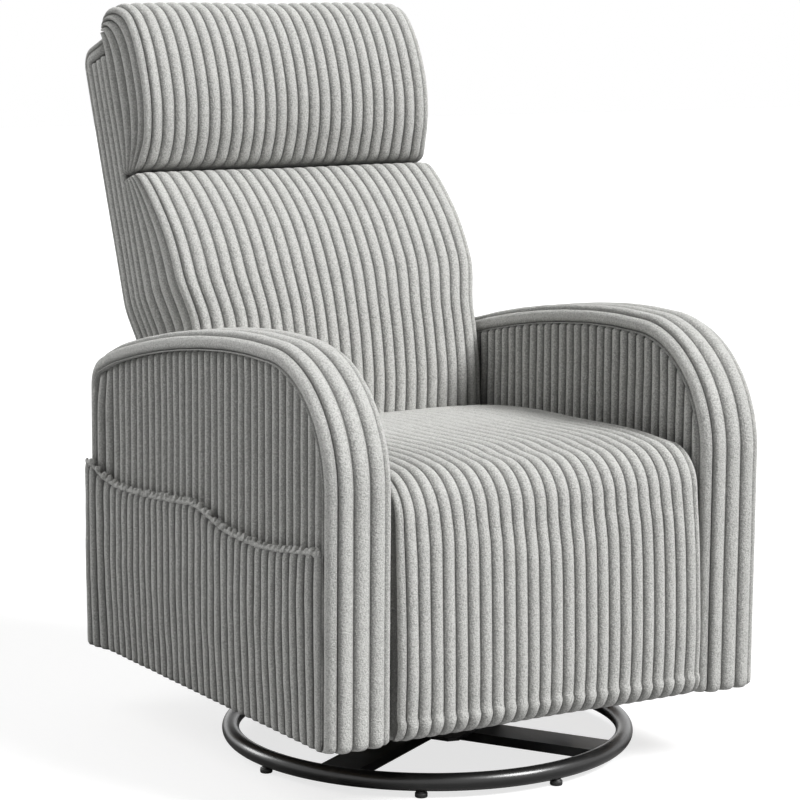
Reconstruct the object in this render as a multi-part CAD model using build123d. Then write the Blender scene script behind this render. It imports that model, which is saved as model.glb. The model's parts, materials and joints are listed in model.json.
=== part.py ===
"""Swivel glider recliner with a ribbed, padded body on a round tube base.

Millimetres. +Z is up, the seat faces -Y and X runs across. While the pieces are made, Y is
measured from the middle of the chair's body, and they are saved about the middle of the
footprint, on the floor.
"""

import math
import os

from build123d import *

# ------------------------------------------------------------------ sizes
# body
BODY_WIDTH = 722.0
ARM_WIDTH = 103.0
HEM_Z = 107.0
ARM_FRONT_Y = -343.0
ARM_REAR_Y = 387.0
ARM_TOP_Z = 625.0
ARM_FRONT_RADIUS = 170.0
ARM_REAR_Z = 536.0
ARM_REAR_RADIUS = 45.0
ARM_ARC_STEPS = 5
CORNER_STEPS = 4
HEM_ROUND = 9.0
HEM_RISE = 22.0
SIDE_GAP = 0.5
SEAT_GAP = 1.0
PANEL_FIT = 0.3

# upholstery
BAND_DEPTH = 24.0
BAND_RIBS = 5
BAND_RIB_DEPTH = 7.0
PANEL_PITCH = 19.5
PANEL_RIB_DEPTH = 4.0
PANEL_THICKNESS = 11.5
OUTER_PANEL_INSET = 9.5
SEAT_RIBS = 27
SEAT_RIB_DEPTH = 6.5
RIB_SHOULDER = 0.3
EDGE_ROUND = 12.0

# side pocket: the mouth line, as distance from the arm's middle and height
POCKET_MOUTH = ((-1.0, 381), (-0.83, 372), (-0.55, 361), (-0.25, 364), (-0.1, 376), (0.03, 385),
                (0.17, 381), (0.45, 373), (0.7, 370), (0.84, 376), (0.93, 394), (1.0, 397))
POCKET_SLOT = 5.5
POCKET_CLOTH = 5.5
POCKET_HEM_PROUD = 0.5
POCKET_HEM_HEIGHT = 10.0
POCKET_BASE_HEIGHT = 9.0
POCKET_RIB_DEPTH = 3.0

# arm frame boards
BOARD = 38.0

# seat
SEAT_Z = 468.0
SEAT_REAR_Z = 452.0
SEAT_REAR_Y = 232.0
SEAT_SLOPE_Y = 60.0
SEAT_SLOPE_Z = 465.0
SEAT_CUSHION_BASE_Z = 369.0
NOSE_Y = -240.0
NOSE_RADIUS = 100.0
NOSE_MIDDLE = 64.0
NOSE_CUSHION = 70.0
SEAT_CROWN = 5.0
SEAT_TO_BACK = 3.0
PIVOT_NOTCH = 12.0
NOSE_STEP = 22.5

# leg rest
REST_PAD = 36.0
REST_BOARD = 12.0
REST_LEAN = 10.0
REST_LEAN_Z = 180.0
REST_SPLIT_GAP = 1.0
REST_SIDE_GAP = 3.0
REST_BOARD_INSET = 24.0
REST_HEM_RISE = 26.0
REST_TUCK = 12.0
BRACKET_FLANGE = 3.0

# leg-rest linkage
PIN_SIDES = 8
LINK_END_STEPS = 4
LINK_WIDTH = 20.0
LINK_THICKNESS = 4.0
LAYER_PITCH = 5.0
PIVOT_PIN_RADIUS = 4.0
PIVOT_HEAD_RADIUS = 6.5
PIVOT_HEAD = 2.0
RUNNING_GAP = 0.06
OPEN_PIVOT_GAP = 0.3
HINGE_TO_FIRST_PIVOT = (130.0, -105.0)
FIRST_TO_SECOND_PIVOT = (55.0, -5.0)
LONG_LINK = (48.0, -175.0)
UPPER_LINK_STEP = (35.0, -127.0)
TORQUE_TUBE_RADIUS = 9.5
TORQUE_TUBE_WALL = 1.5

# back
RECLINE_PIVOT_Y = 215.0
RECLINE_PIVOT_Z = 400.0
BACK_TILT = 20.0
BACK_SIDE_GAP = 5.5
BACK_DEPTH = 155.0
BACK_TOP = 695.0
BACK_FOOT = -45.0
FRAME_FOOT = -20.0
BACK_TOP_RADIUS = 30.0
REAR_PAD = 27.0
BACK_FRAME_DEPTH = 50.7
SIDE_PANEL = 10.5
POST_WIDTH = 16.0
WEBBING = 2.0
STRAP_WIDTH = 48.0
HEAD_SEAM = 465.0
SEAM_GAP = 1.5
HEAD_SWELL = 6.0
HEAD_END_DEPTH = 26.0
BACK_RAIL_HEIGHT = 60.0
LOW_RAIL = 200.0
BACK_STRAP_FOOT = 40.0
BACK_STRAP_PITCH = 70.0
BACK_STRAPS = 6
HEAD_STRAP_RISE = 15.0
HEAD_STRAP_PITCH = 80.0
HEAD_STRAPS = 2
BRACKET_EAR = 13.0
BRACKET_LENGTH = 180.0
BRACKET_INSET = 7.0

# seat frame
WOOD_RAIL = 22.2
RAIL_Z = 300.0
RAIL_FRONT_Y = -262.0
RAIL_REAR_Y = 235.0
CROSS_RAIL = 20.0
CROSS_RAIL_DEPTH = 60.0
CROSS_RAIL_SETBACK = 40.0
SIDE_PLATE = 4.0
STRAPS = 6
PLATE_MARGIN = 6.0
PLATE_INSET = 6.0
PLATE_HEEL = 30.0
PLATE_EAR = 18.0
PLATE_EAR_CHAMFER = 7.0
PLATE_NECK = 19.0
SIDE_BOLT_PLACES = (-40.0, 150.0)
SIDE_BOLT_BITE = 15.0
REAR_PANEL_INSET = 1.0
REAR_PANEL_LAP = 20.0

# glider
SWIVEL_Y = -18.0
SWING_LENGTH = 110.0
SWING_Z = 262.0
SWING_SPACING = 240.0
SWING_WIDTH = 26.0
SWING_PIN_RADIUS = 5.0
SWING_HEAD_RADIUS = 8.0
SWING_HEAD = 1.8
SWING_HEAD_GAP = 0.2
SWING_STEP = 3.0
CHANNEL = 25.0
CHANNEL_WALL = 2.5
GLIDER_SIDE_ROOM = 40.0
UPRIGHT_WIDTH = 34.0
RAIL_OVERHANG = 10.0
ANGLE_WALL = 3.0
ANGLE_DROP = 32.0
CARRIAGE_CHANNEL_PLACES = (-10.0, 100.0)

# base
RING_RADIUS = 293.0
TUBE_RADIUS = 12.7
TUBE_SIDES = 10
RING_STEPS = 40
RING_Z = 21.5
GLIDE_FOOT_RADIUS = 9.0
BAR_WIDTH = 60.0
BAR_HEIGHT = 14.0
BAR_WALL = 2.5
BAR_ANGLE = -59.0
FOOT_SPREAD = 25.0
BASE_PLATE = 180.0
BASE_PLATE_THICKNESS = 5.0
BASE_BOLT_INSET = 18.0
THRUST_RING_RADIUS = 95.0
THRUST_RING_BORE = 50.0
THRUST_RING_HEIGHT = 12.0
TOP_PLATE = 240.0
TOP_PLATE_THICKNESS = 4.0
PLATE_CORNER = 12.0
SWIVEL_PIN_RADIUS = 10.0
SWIVEL_PIN_HEAD = 16.0
SWIVEL_COLLAR = 18.0
COLLAR_HEIGHT = 10.0
PIN_STAND = 2.0
PLATE_GAP = 0.3
BOLT_RADIUS = 4.0
BOLT_HEAD = 4.0
BOLT_HEAD_RADIUS = 7.0
BOLT_STAND = 5.5

# ------------------------------------------------------------------ derived sizes
ARM_OUTER_X = BODY_WIDTH / 2
ARM_INNER_X = ARM_OUTER_X - ARM_WIDTH
ARM_MID_Y = (ARM_FRONT_Y + ARM_REAR_Y) / 2
SEAT_HALF = ARM_INNER_X - SEAT_GAP
OUTER_CREST_X = ARM_OUTER_X - OUTER_PANEL_INSET
OUTER_BACK_X = OUTER_CREST_X - PANEL_THICKNESS
INNER_CREST_X = ARM_INNER_X + SIDE_GAP
INNER_BACK_X = INNER_CREST_X + PANEL_THICKNESS
NOSE_Z = SEAT_Z - NOSE_RADIUS
HINGE_RADIUS = NOSE_RADIUS + SEAT_CROWN
HINGE_Y = NOSE_Y - HINGE_RADIUS * math.cos(math.radians(45))
HINGE_Z = NOSE_Z + HINGE_RADIUS * math.sin(math.radians(45))
CROWN_START_Y = ARM_FRONT_Y + ARM_FRONT_RADIUS
CROWN_RUN = ARM_REAR_Y - CROWN_START_Y
CROWN_DROP = ARM_TOP_Z - ARM_REAR_Z
CROWN_RADIUS = (CROWN_RUN ** 2 + CROWN_DROP ** 2) / (2 * CROWN_DROP)
PLATE_OUTER_X = INNER_CREST_X - WOOD_RAIL - PANEL_FIT
PLATE_INNER_X = PLATE_OUTER_X - SIDE_PLATE
GLIDER_HALF_WIDTH = PLATE_INNER_X - GLIDER_SIDE_ROOM
BACK_HALF = INNER_CREST_X - BACK_SIDE_GAP
SEAT_RAIL_TOP_Z = SEAT_CUSHION_BASE_Z - WEBBING - PANEL_FIT

parts = {}


# ------------------------------------------------------------------ helpers
def rib_line(half_width, count, depth, edge=0.0):
    """Points (across, height) over a row of ribs, with height 0 on the crests."""
    pitch = 2 * half_width / count
    line = []
    for number in range(count):
        start = -half_width + number * pitch
        line.append((start, -depth))
        line.append((start + RIB_SHOULDER * pitch, 0.0))
        line.append((start + (1 - RIB_SHOULDER) * pitch, 0.0))
    line.append((half_width, -depth))
    line[0] = (-half_width, -max(edge, depth))
    line[-1] = (half_width, -max(edge, depth))
    return line


def station(outer, inner, crown=0.0, way=None):
    """One cross-section of a pad: outer and inner point, swell, and the way its ribs stand."""
    if way is None:
        reach = math.dist(outer, inner)
        way = ((outer[0] - inner[0]) / reach, (outer[1] - inner[1]) / reach)
    return outer, inner, crown, way


def mirrored_way(way, start, end):
    """The way at a chord's end that leans from the chord as much as the way at its start."""
    reach = math.dist(start, end)
    chord = ((end[0] - start[0]) / reach, (end[1] - start[1]) / reach)
    along = way[0] * chord[0] + way[1] * chord[1]
    return (way[0] - 2 * along * chord[0], way[1] - 2 * along * chord[1])


def section(outer, inner, crown, way, ribs, centre_x):
    """A closed outline across the chair, from an inner line out to a ribbed line."""
    (outer_y, outer_z), (inner_y, inner_z), (way_y, way_z) = outer, inner, way
    half = ribs[-1][0]
    points = [(centre_x - half, inner_y, inner_z)]
    for across, height in ribs:
        swell = crown * (1 - abs(across / half) ** 4) + height
        points.append((centre_x + across, outer_y + swell * way_y, outer_z + swell * way_z))
    points.append((centre_x + half, inner_y, inner_z))
    return Wire.make_polygon(points)


def ribbed_pad(stations, ribs, centre_x=0.0):
    """A padded strip that follows a row of stations."""
    return Solid.make_loft([section(*place, ribs, centre_x) for place in stations], ruled=True)


def side_plate_shape(points, inner_x, thickness):
    """A flat plate across X with the outline given in Y and Z."""
    outline = Face(Wire.make_polygon([(inner_x, y, z) for y, z in points]))
    return extrude(outline, thickness, dir=(1, 0, 0))


def block(x_range, y_range, z_range):
    """A box between two limits on each axis."""
    (x0, x1), (y0, y1), (z0, z1) = x_range, y_range, z_range
    size = (x1 - x0, y1 - y0, z1 - z0)
    return Pos((x0 + x1) / 2, (y0 + y1) / 2, (z0 + z1) / 2) * Box(*size)


def disc(radius, length):
    """A round bar up from the origin, drawn with PIN_SIDES flats whose corners lie on its radius."""
    return extrude(RegularPolygon(radius, PIN_SIDES), length)


def bore(radius, length):
    """A round hole up from the origin: its flats touch the radius, so a turning pin clears them."""
    return extrude(RegularPolygon(radius / math.cos(math.pi / PIN_SIDES), PIN_SIDES), length)


def cross_pin(y, z, inner_x, outer_x, radius):
    """A round bar along X between two X positions."""
    return Pos(inner_x, y, z) * Rot(0, 90, 0) * disc(radius, outer_x - inner_x)


def cross_bore(y, z, inner_x, outer_x, radius):
    """A round hole along X between two X positions."""
    return Pos(inner_x, y, z) * Rot(0, 90, 0) * bore(radius, outer_x - inner_x)


def link_outline(start, end, width):
    """The outline of a flat link with round ends, in Y and Z."""
    way = math.atan2(end[1] - start[1], end[0] - start[0])
    line = []
    for (y, z), first_turn in ((end, way - math.pi / 2), (start, way + math.pi / 2)):
        for step in range(LINK_END_STEPS + 1):
            turn = first_turn + math.pi * step / LINK_END_STEPS
            line.append((y + width / 2 * math.cos(turn), z + width / 2 * math.sin(turn)))
    return line


def both_sides(shape):
    """A piece and its mirror image on the other side of the chair, as one group."""
    return Compound([*shape.solids(), *mirror(shape, about=Plane.YZ).solids()])


def add(name, shape):
    """Keeps a finished piece under its name."""
    parts[name] = shape


def bar_link(ends, inner_x, holes):
    """A flat bar with round ends along a row of pivots, with a hole at each one."""
    bar = None
    for start, end in zip(ends, ends[1:]):
        piece = side_plate_shape(link_outline(start, end, LINK_WIDTH), inner_x, LINK_THICKNESS)
        bar = piece if bar is None else bar + piece
    for (y, z), radius in holes:
        bar -= cross_bore(y, z, inner_x - 1, inner_x + LINK_THICKNESS + 1, radius)
    return bar


def rivet(y, z, outer_x, inner_x, shank, head_radius, head):
    """A headed pivot pin along X, flush at its outer end."""
    shaft = cross_pin(y, z, inner_x - RUNNING_GAP, outer_x, shank)
    return shaft + cross_pin(y, z, inner_x - RUNNING_GAP - head, inner_x - RUNNING_GAP, head_radius)


def shifted(point, step):
    """A point moved by a step, both as Y and Z."""
    return (point[0] + step[0], point[1] + step[1])


def hex_head():
    """A bolt's six-sided head, up from the origin."""
    return extrude(RegularPolygon(BOLT_HEAD_RADIUS, 6), BOLT_HEAD)


# ------------------------------------------------------------------ arms
def arm_outline():
    """Stations round the arm from front hem over the top to rear hem: point and outward way."""
    stations = [((ARM_FRONT_Y + HEM_ROUND, HEM_Z), (-1, 0)),
                ((ARM_FRONT_Y, HEM_Z + HEM_RISE), (-1, 0))]
    arc_y = CROWN_START_Y
    arc_z = ARM_TOP_Z - ARM_FRONT_RADIUS
    for step in range(ARM_ARC_STEPS + 1):
        turn = math.pi / 2 * step / ARM_ARC_STEPS
        way = (-math.cos(turn), math.sin(turn))
        stations.append(((arc_y + ARM_FRONT_RADIUS * way[0], arc_z + ARM_FRONT_RADIUS * way[1]), way))
    # the rear corner is an arc that touches both the crown and the rear line
    corner_y = ARM_REAR_Y - ARM_REAR_RADIUS
    corner_turn = math.asin((corner_y - arc_y) / (CROWN_RADIUS - ARM_REAR_RADIUS))
    for share in (1 / 3, 2 / 3):
        turn = share * corner_turn
        way = (math.sin(turn), math.cos(turn))
        stations.append(((arc_y + CROWN_RADIUS * way[0],
                          ARM_TOP_Z - CROWN_RADIUS + CROWN_RADIUS * way[1]), way))
    corner_z = ARM_TOP_Z - CROWN_RADIUS + (CROWN_RADIUS - ARM_REAR_RADIUS) * math.cos(corner_turn)
    for step in range(CORNER_STEPS + 1):
        turn = corner_turn + (math.pi / 2 - corner_turn) * step / CORNER_STEPS
        way = (math.sin(turn), math.cos(turn))
        stations.append(((corner_y + ARM_REAR_RADIUS * way[0],
                          corner_z + ARM_REAR_RADIUS * way[1]), way))
    stations.append(((ARM_REAR_Y, HEM_Z + HEM_RISE), (1, 0)))
    stations.append(((ARM_REAR_Y - HEM_ROUND, HEM_Z), (1, 0)))
    return stations


ARM_STATIONS = arm_outline()


def stepped_in(depth):
    """Each station's point moved in from the crest line, with the hem's rounding left out."""
    line = []
    for (y, z), (way_y, way_z) in ARM_STATIONS:
        if z <= HEM_Z + HEM_RISE:
            y = ARM_FRONT_Y if way_y < 0 else ARM_REAR_Y
        line.append((y - depth * way_y, z - depth * way_z))
    return line


def inset(depth):
    """The arm's outline moved in from the crest line, in Y and Z."""
    line = stepped_in(depth)
    line = line[:1] + line[2:-2] + line[-1:]
    if depth < ARM_REAR_RADIUS:
        return line
    # further in than the corner's radius the crown and the rear line meet in a point
    rear_y = ARM_REAR_Y - depth
    drop = math.sqrt((CROWN_RADIUS - depth) ** 2 - (rear_y - CROWN_START_Y) ** 2)
    crown = [(y, z) for y, z in line[:-1] if y < rear_y - 1]
    return crown + [(rear_y, ARM_TOP_Z - CROWN_RADIUS + drop), line[-1]]


def ribbed_panel(back_x, crest_x, rib_depth):
    """An upright ribbed sheet as wide as the space inside the arm's band."""
    front = ARM_FRONT_Y + BAND_DEPTH
    rear = ARM_REAR_Y - BAND_DEPTH
    count = round((rear - front) / PANEL_PITCH)
    out = 1 if crest_x > back_x else -1
    line = [(back_x, front)]
    for along, height in rib_line((rear - front) / 2, count, rib_depth):
        line.append((crest_x + out * height, (front + rear) / 2 + along))
    line.append((back_x, rear))
    face = Face(Wire.make_polygon([(x, y, HEM_Z) for x, y in line]))
    return extrude(face, ARM_TOP_Z - HEM_Z, dir=(0, 0, 1))


def make_arms():
    """Both arms: ribbed band, panels, side pocket and the boards inside."""
    band_line = rib_line(ARM_WIDTH / 2, BAND_RIBS, BAND_RIB_DEPTH, EDGE_ROUND)
    crest_line = [point for point, way in ARM_STATIONS]
    stations = [station(*pair) for pair in zip(crest_line, stepped_in(BAND_DEPTH))]
    band = ribbed_pad(stations, band_line, ARM_INNER_X + ARM_WIDTH / 2)

    window = side_plate_shape(inset(BAND_DEPTH), 0, BODY_WIDTH)
    outer = ribbed_panel(OUTER_BACK_X, OUTER_CREST_X, PANEL_RIB_DEPTH) & window
    inner = ribbed_panel(INNER_BACK_X, INNER_CREST_X, PANEL_RIB_DEPTH) & window

    # pocket: a ribbed patch that stands off the panel, open along its mouth line
    front = ARM_FRONT_Y + BAND_DEPTH + PANEL_FIT
    rear = ARM_REAR_Y - BAND_DEPTH - PANEL_FIT
    mouth = [((front + rear) / 2 + share * (rear - front) / 2, z) for share, z in POCKET_MOUTH]
    under_hem = [(y, z - POCKET_HEM_HEIGHT) for y, z in mouth]
    lining_top = min(z for y, z in mouth) - 2 * POCKET_HEM_HEIGHT
    lining_x = OUTER_CREST_X - PANEL_RIB_DEPTH
    outer -= block((lining_x, BODY_WIDTH), (ARM_FRONT_Y, ARM_REAR_Y), (HEM_Z, lining_top))
    patch_x = OUTER_CREST_X + POCKET_SLOT
    area = side_plate_shape([(front, HEM_Z), *under_hem, (rear, HEM_Z)], patch_x, POCKET_CLOTH)
    patch = ribbed_panel(patch_x, patch_x + POCKET_CLOTH, POCKET_RIB_DEPTH) & area
    hem = side_plate_shape(mouth + under_hem[::-1], patch_x, POCKET_CLOTH + POCKET_HEM_PROUD)
    base = block((lining_x, patch_x), (front, rear), (HEM_Z, HEM_Z + POCKET_BASE_HEIGHT))

    # boards inside
    board_x = INNER_BACK_X
    board_width = OUTER_BACK_X - INNER_BACK_X
    x_range = (board_x, board_x + board_width)
    floor_z = HEM_Z + BOARD
    rim = inset(BAND_DEPTH)[1:-1]
    core = inset(BAND_DEPTH + BOARD)[1:-1]
    corner = rim[-1]
    top_rail = side_plate_shape(rim + [(core[-1][0], corner[1])] + core[::-1], board_x, board_width)
    front_post = block(x_range, (rim[0][0], core[0][0]), (floor_z, rim[0][1]))
    rear_post = block(x_range, (core[-1][0], rim[-1][0]), (floor_z, rim[-1][1]))
    floor_rail = block(x_range, (rim[0][0], rim[-1][0]), (HEM_Z, floor_z))
    infill_line = [(core[0][0], floor_z), *core, (core[-1][0], floor_z)]
    infill = side_plate_shape(infill_line, board_x, board_width)

    for name, shape in (("arm_bands", band), ("outer_panels", outer), ("inner_panels", inner),
                        ("side_pockets", patch), ("pocket_hems", hem), ("pocket_base_strips", base),
                        ("arm_top_rails", top_rail), ("arm_front_posts", front_post),
                        ("arm_rear_posts", rear_post), ("arm_floor_rails", floor_rail),
                        ("arm_infills", infill)):
        add(name, both_sides(shape))


# ------------------------------------------------------------------ seat and leg rest
def nose(turn, radius):
    """A point about the middle of the seat's nose; 0 degrees is straight ahead, 90 is up."""
    angle = math.radians(turn)
    return (NOSE_Y - radius * math.cos(angle), NOSE_Z + radius * math.sin(angle))


def make_seat():
    """The seat cushion, and the leg-rest pad that carries its ribs on down the front."""
    ribs = rib_line(SEAT_HALF, SEAT_RIBS, SEAT_RIB_DEPTH, EDGE_ROUND)
    stations = []
    for y, z in ((SEAT_REAR_Y, SEAT_REAR_Z), (SEAT_SLOPE_Y, SEAT_SLOPE_Z)):
        stations.append(station((y, z), (y, SEAT_CUSHION_BASE_Z), SEAT_CROWN))
    core = SEAT_CUSHION_BASE_Z - NOSE_Z
    for turn, depth in ((90, core), (45 + NOSE_STEP, NOSE_RADIUS - NOSE_MIDDLE),
                        (45, NOSE_RADIUS - NOSE_CUSHION)):
        stations.append(station(nose(turn, NOSE_RADIUS), nose(turn, depth), SEAT_CROWN))
    cushion = ribbed_pad(stations, ribs)
    # the rear end leans with the back and stays clear of it
    lean = back_point(0, -max(swell - crest for _, crest, swell in BACK_FRONT[:2]) - SEAT_TO_BACK)
    cutter = Plane(origin=(0, *lean),
                   z_dir=(0, math.cos(math.radians(BACK_TILT)), -math.sin(math.radians(BACK_TILT))))
    cushion = split(cushion, bisect_by=cutter, keep=Keep.BOTTOM)
    # corners cut away for the recline pivots
    notch = block((PLATE_INNER_X - 2 * LAYER_PITCH - PIVOT_NOTCH, BODY_WIDTH),
                  (RECLINE_PIVOT_Y - 3 * PIVOT_NOTCH, SEAT_REAR_Y),
                  (0, RECLINE_PIVOT_Z + 2 * PIVOT_NOTCH))
    for side in both_sides(notch).solids():
        cushion -= side
    add("seat_cushion", cushion)

    rest_half = INNER_CREST_X - REST_SIDE_GAP
    rest_ribs = rib_line(rest_half, SEAT_RIBS, SEAT_RIB_DEPTH, EDGE_ROUND)
    inner_radius = NOSE_RADIUS - REST_PAD
    gap_turn = math.degrees(REST_SPLIT_GAP / (NOSE_RADIUS - REST_PAD / 2))
    stations = []
    for turn in (45 - gap_turn, NOSE_STEP, 0):
        stations.append(station(nose(turn, NOSE_RADIUS), nose(turn, inner_radius), SEAT_CROWN))
    front_y = NOSE_Y - NOSE_RADIUS
    inner_y = NOSE_Y - inner_radius
    for out, z in ((REST_LEAN, REST_LEAN_Z), (REST_LEAN, HEM_Z + REST_HEM_RISE), (-REST_TUCK, HEM_Z)):
        stations.append(station((front_y - out, z), (inner_y, z), SEAT_CROWN))
    add("leg_rest_pad", ribbed_pad(stations, rest_ribs))

    board_half = rest_half - REST_BOARD_INSET / 2
    board = block((-board_half, board_half), (inner_y, inner_y + REST_BOARD),
                  (HEM_Z + REST_BOARD_INSET, NOSE_Z))
    add("leg_rest_board", board)


# ------------------------------------------------------------------ leg-rest linkage
def make_rest_linkage():
    """The links, rivets and brackets that carry the leg rest, and the two pivots on the plates."""
    hinge = (HINGE_Y, HINGE_Z)
    first = shifted(hinge, HINGE_TO_FIRST_PIVOT)
    second = shifted(first, FIRST_TO_SECOND_PIVOT)
    low_first = shifted(first, LONG_LINK)
    low_second = shifted(second, LONG_LINK)
    rest_low = shifted(hinge, LONG_LINK)
    upper_start = shifted(first, UPPER_LINK_STEP)
    rest_high = shifted(hinge, UPPER_LINK_STEP)
    running = PIVOT_PIN_RADIUS + RUNNING_GAP
    loose = PIVOT_PIN_RADIUS + OPEN_PIVOT_GAP
    outer_layer = PLATE_INNER_X - LAYER_PITCH
    inner_layer = outer_layer - LAYER_PITCH

    long_link = bar_link([first, upper_start, low_first], outer_layer,
                         [(first, running), (upper_start, running), (low_first, running)])
    short_link = bar_link([second, low_second], outer_layer,
                          [(second, running), (low_second, running)])
    coupler = bar_link([low_second, low_first, rest_low], inner_layer,
                       [(low_second, loose), (low_first, running), (rest_low, loose)])
    upper_link = bar_link([upper_start, rest_high], inner_layer,
                          [(upper_start, running), (rest_high, loose)])
    add("long_links", both_sides(long_link))
    add("short_links", both_sides(short_link))
    add("coupler_links", both_sides(coupler))
    add("upper_links", both_sides(upper_link))

    tube = cross_pin(*first, -outer_layer, outer_layer, TORQUE_TUBE_RADIUS)
    tube -= cross_pin(*first, -outer_layer, outer_layer, TORQUE_TUBE_RADIUS - TORQUE_TUBE_WALL)
    add("torque_tube", tube)

    def pins(points, outer_x, inner_x):
        """A rivet at each point, on both sides of the chair."""
        group = [rivet(y, z, outer_x, inner_x, PIVOT_PIN_RADIUS, PIVOT_HEAD_RADIUS, PIVOT_HEAD)
                 for y, z in points]
        return both_sides(Compound([solid for pin in group for solid in pin.solids()]))

    link_outer = outer_layer + LINK_THICKNESS
    add("side_plate_rivets", pins([first, second], PLATE_OUTER_X, outer_layer))
    add("long_link_rivets", pins([low_first, upper_start], link_outer, inner_layer))
    add("short_link_rivets", pins([low_second], link_outer, inner_layer))
    add("rest_bracket_rivets", pins([rest_low, rest_high], link_outer, inner_layer))

    # bracket: a flange on the leg-rest board and a web that carries the two rest pivots
    board_y = NOSE_Y - NOSE_RADIUS + REST_PAD + REST_BOARD
    half = LINK_WIDTH / 2
    foot_z = rest_low[1] - 2 * half
    head_z = rest_high[1] + 2 * half
    web = side_plate_shape([(board_y, foot_z), (rest_low[0] + half, rest_low[1] - half),
                            (rest_low[0] + half, rest_low[1] + half),
                            (rest_high[0] + half, rest_high[1]),
                            (rest_high[0] + half, rest_high[1] + half), (board_y, head_z)],
                           outer_layer, LINK_THICKNESS)
    flange = block((outer_layer, outer_layer + LINK_THICKNESS + LAYER_PITCH),
                   (board_y, board_y + BRACKET_FLANGE), (foot_z, head_z))
    bracket = web + flange
    for point in (rest_low, rest_high):
        bracket -= cross_bore(*point, outer_layer - 1, outer_layer + LINK_THICKNESS + 1, running)
    add("leg_rest_brackets", both_sides(bracket))
    return first, second


# ------------------------------------------------------------------ back
# front face of the back cushion: distance up the back, crest, and swell over the edges
BACK_FRONT = ((26, -9, 0), (60, -11, 3), (130, -23, 13), (230, -32, 21), (340, -25, 19),
              (410, 0, 12), (HEAD_SEAM - SEAM_GAP, 42, 2))
# front face of the head cushion: distance up the back and crest
HEAD_FRONT = ((HEAD_SEAM, 44), (500, 8), (570, -19), (630, -21.5))
# its rounded top: distance up the back and crest, then the inner edge's distance up the back and
# its step forward of the cushion's back
HEAD_TOP = ((700, -4, 670, 0), (726, 14, 684, 5), (735, 42, 694, 10.5))
HEAD_END = (730, 70)


def back_point(up, rearward):
    """A point of the back as Y and Z, from its height along the back and depth behind the pivot."""
    tilt = math.radians(BACK_TILT)
    return (RECLINE_PIVOT_Y + up * math.sin(tilt) + rearward * math.cos(tilt),
            RECLINE_PIVOT_Z + up * math.cos(tilt) - rearward * math.sin(tilt))


def back_block(x_range, up_range, rearward_range):
    """A box in the back's own leaning frame."""
    (x0, x1), (s0, s1), (r0, r1) = x_range, up_range, rearward_range
    y, z = back_point((s0 + s1) / 2, (r0 + r1) / 2)
    return Pos((x0 + x1) / 2, y, z) * Rot(-BACK_TILT, 0, 0) * Box(x1 - x0, r1 - r0, s1 - s0)


def head_stations(cushion_back):
    """The head cushion's cross-sections from its seam up the front and over the top."""
    stations = [station(back_point(up, crest), back_point(up, cushion_back), HEAD_SWELL)
                for up, crest in HEAD_FRONT]
    for up, crest, inner_up, step in HEAD_TOP:
        outer = back_point(up, crest)
        way = mirrored_way(stations[-1][3], stations[-1][0], outer)
        stations.append(station(outer, back_point(inner_up, cushion_back - step), HEAD_SWELL, way))
    # the rear edge rolls under and stops short of the panel behind it
    outer = back_point(*HEAD_END)
    way = mirrored_way(stations[-1][3], stations[-1][0], outer)
    inner = (outer[0] - HEAD_END_DEPTH * way[0], outer[1] - HEAD_END_DEPTH * way[1])
    return stations + [station(outer, inner, HEAD_SWELL, way)]


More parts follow.
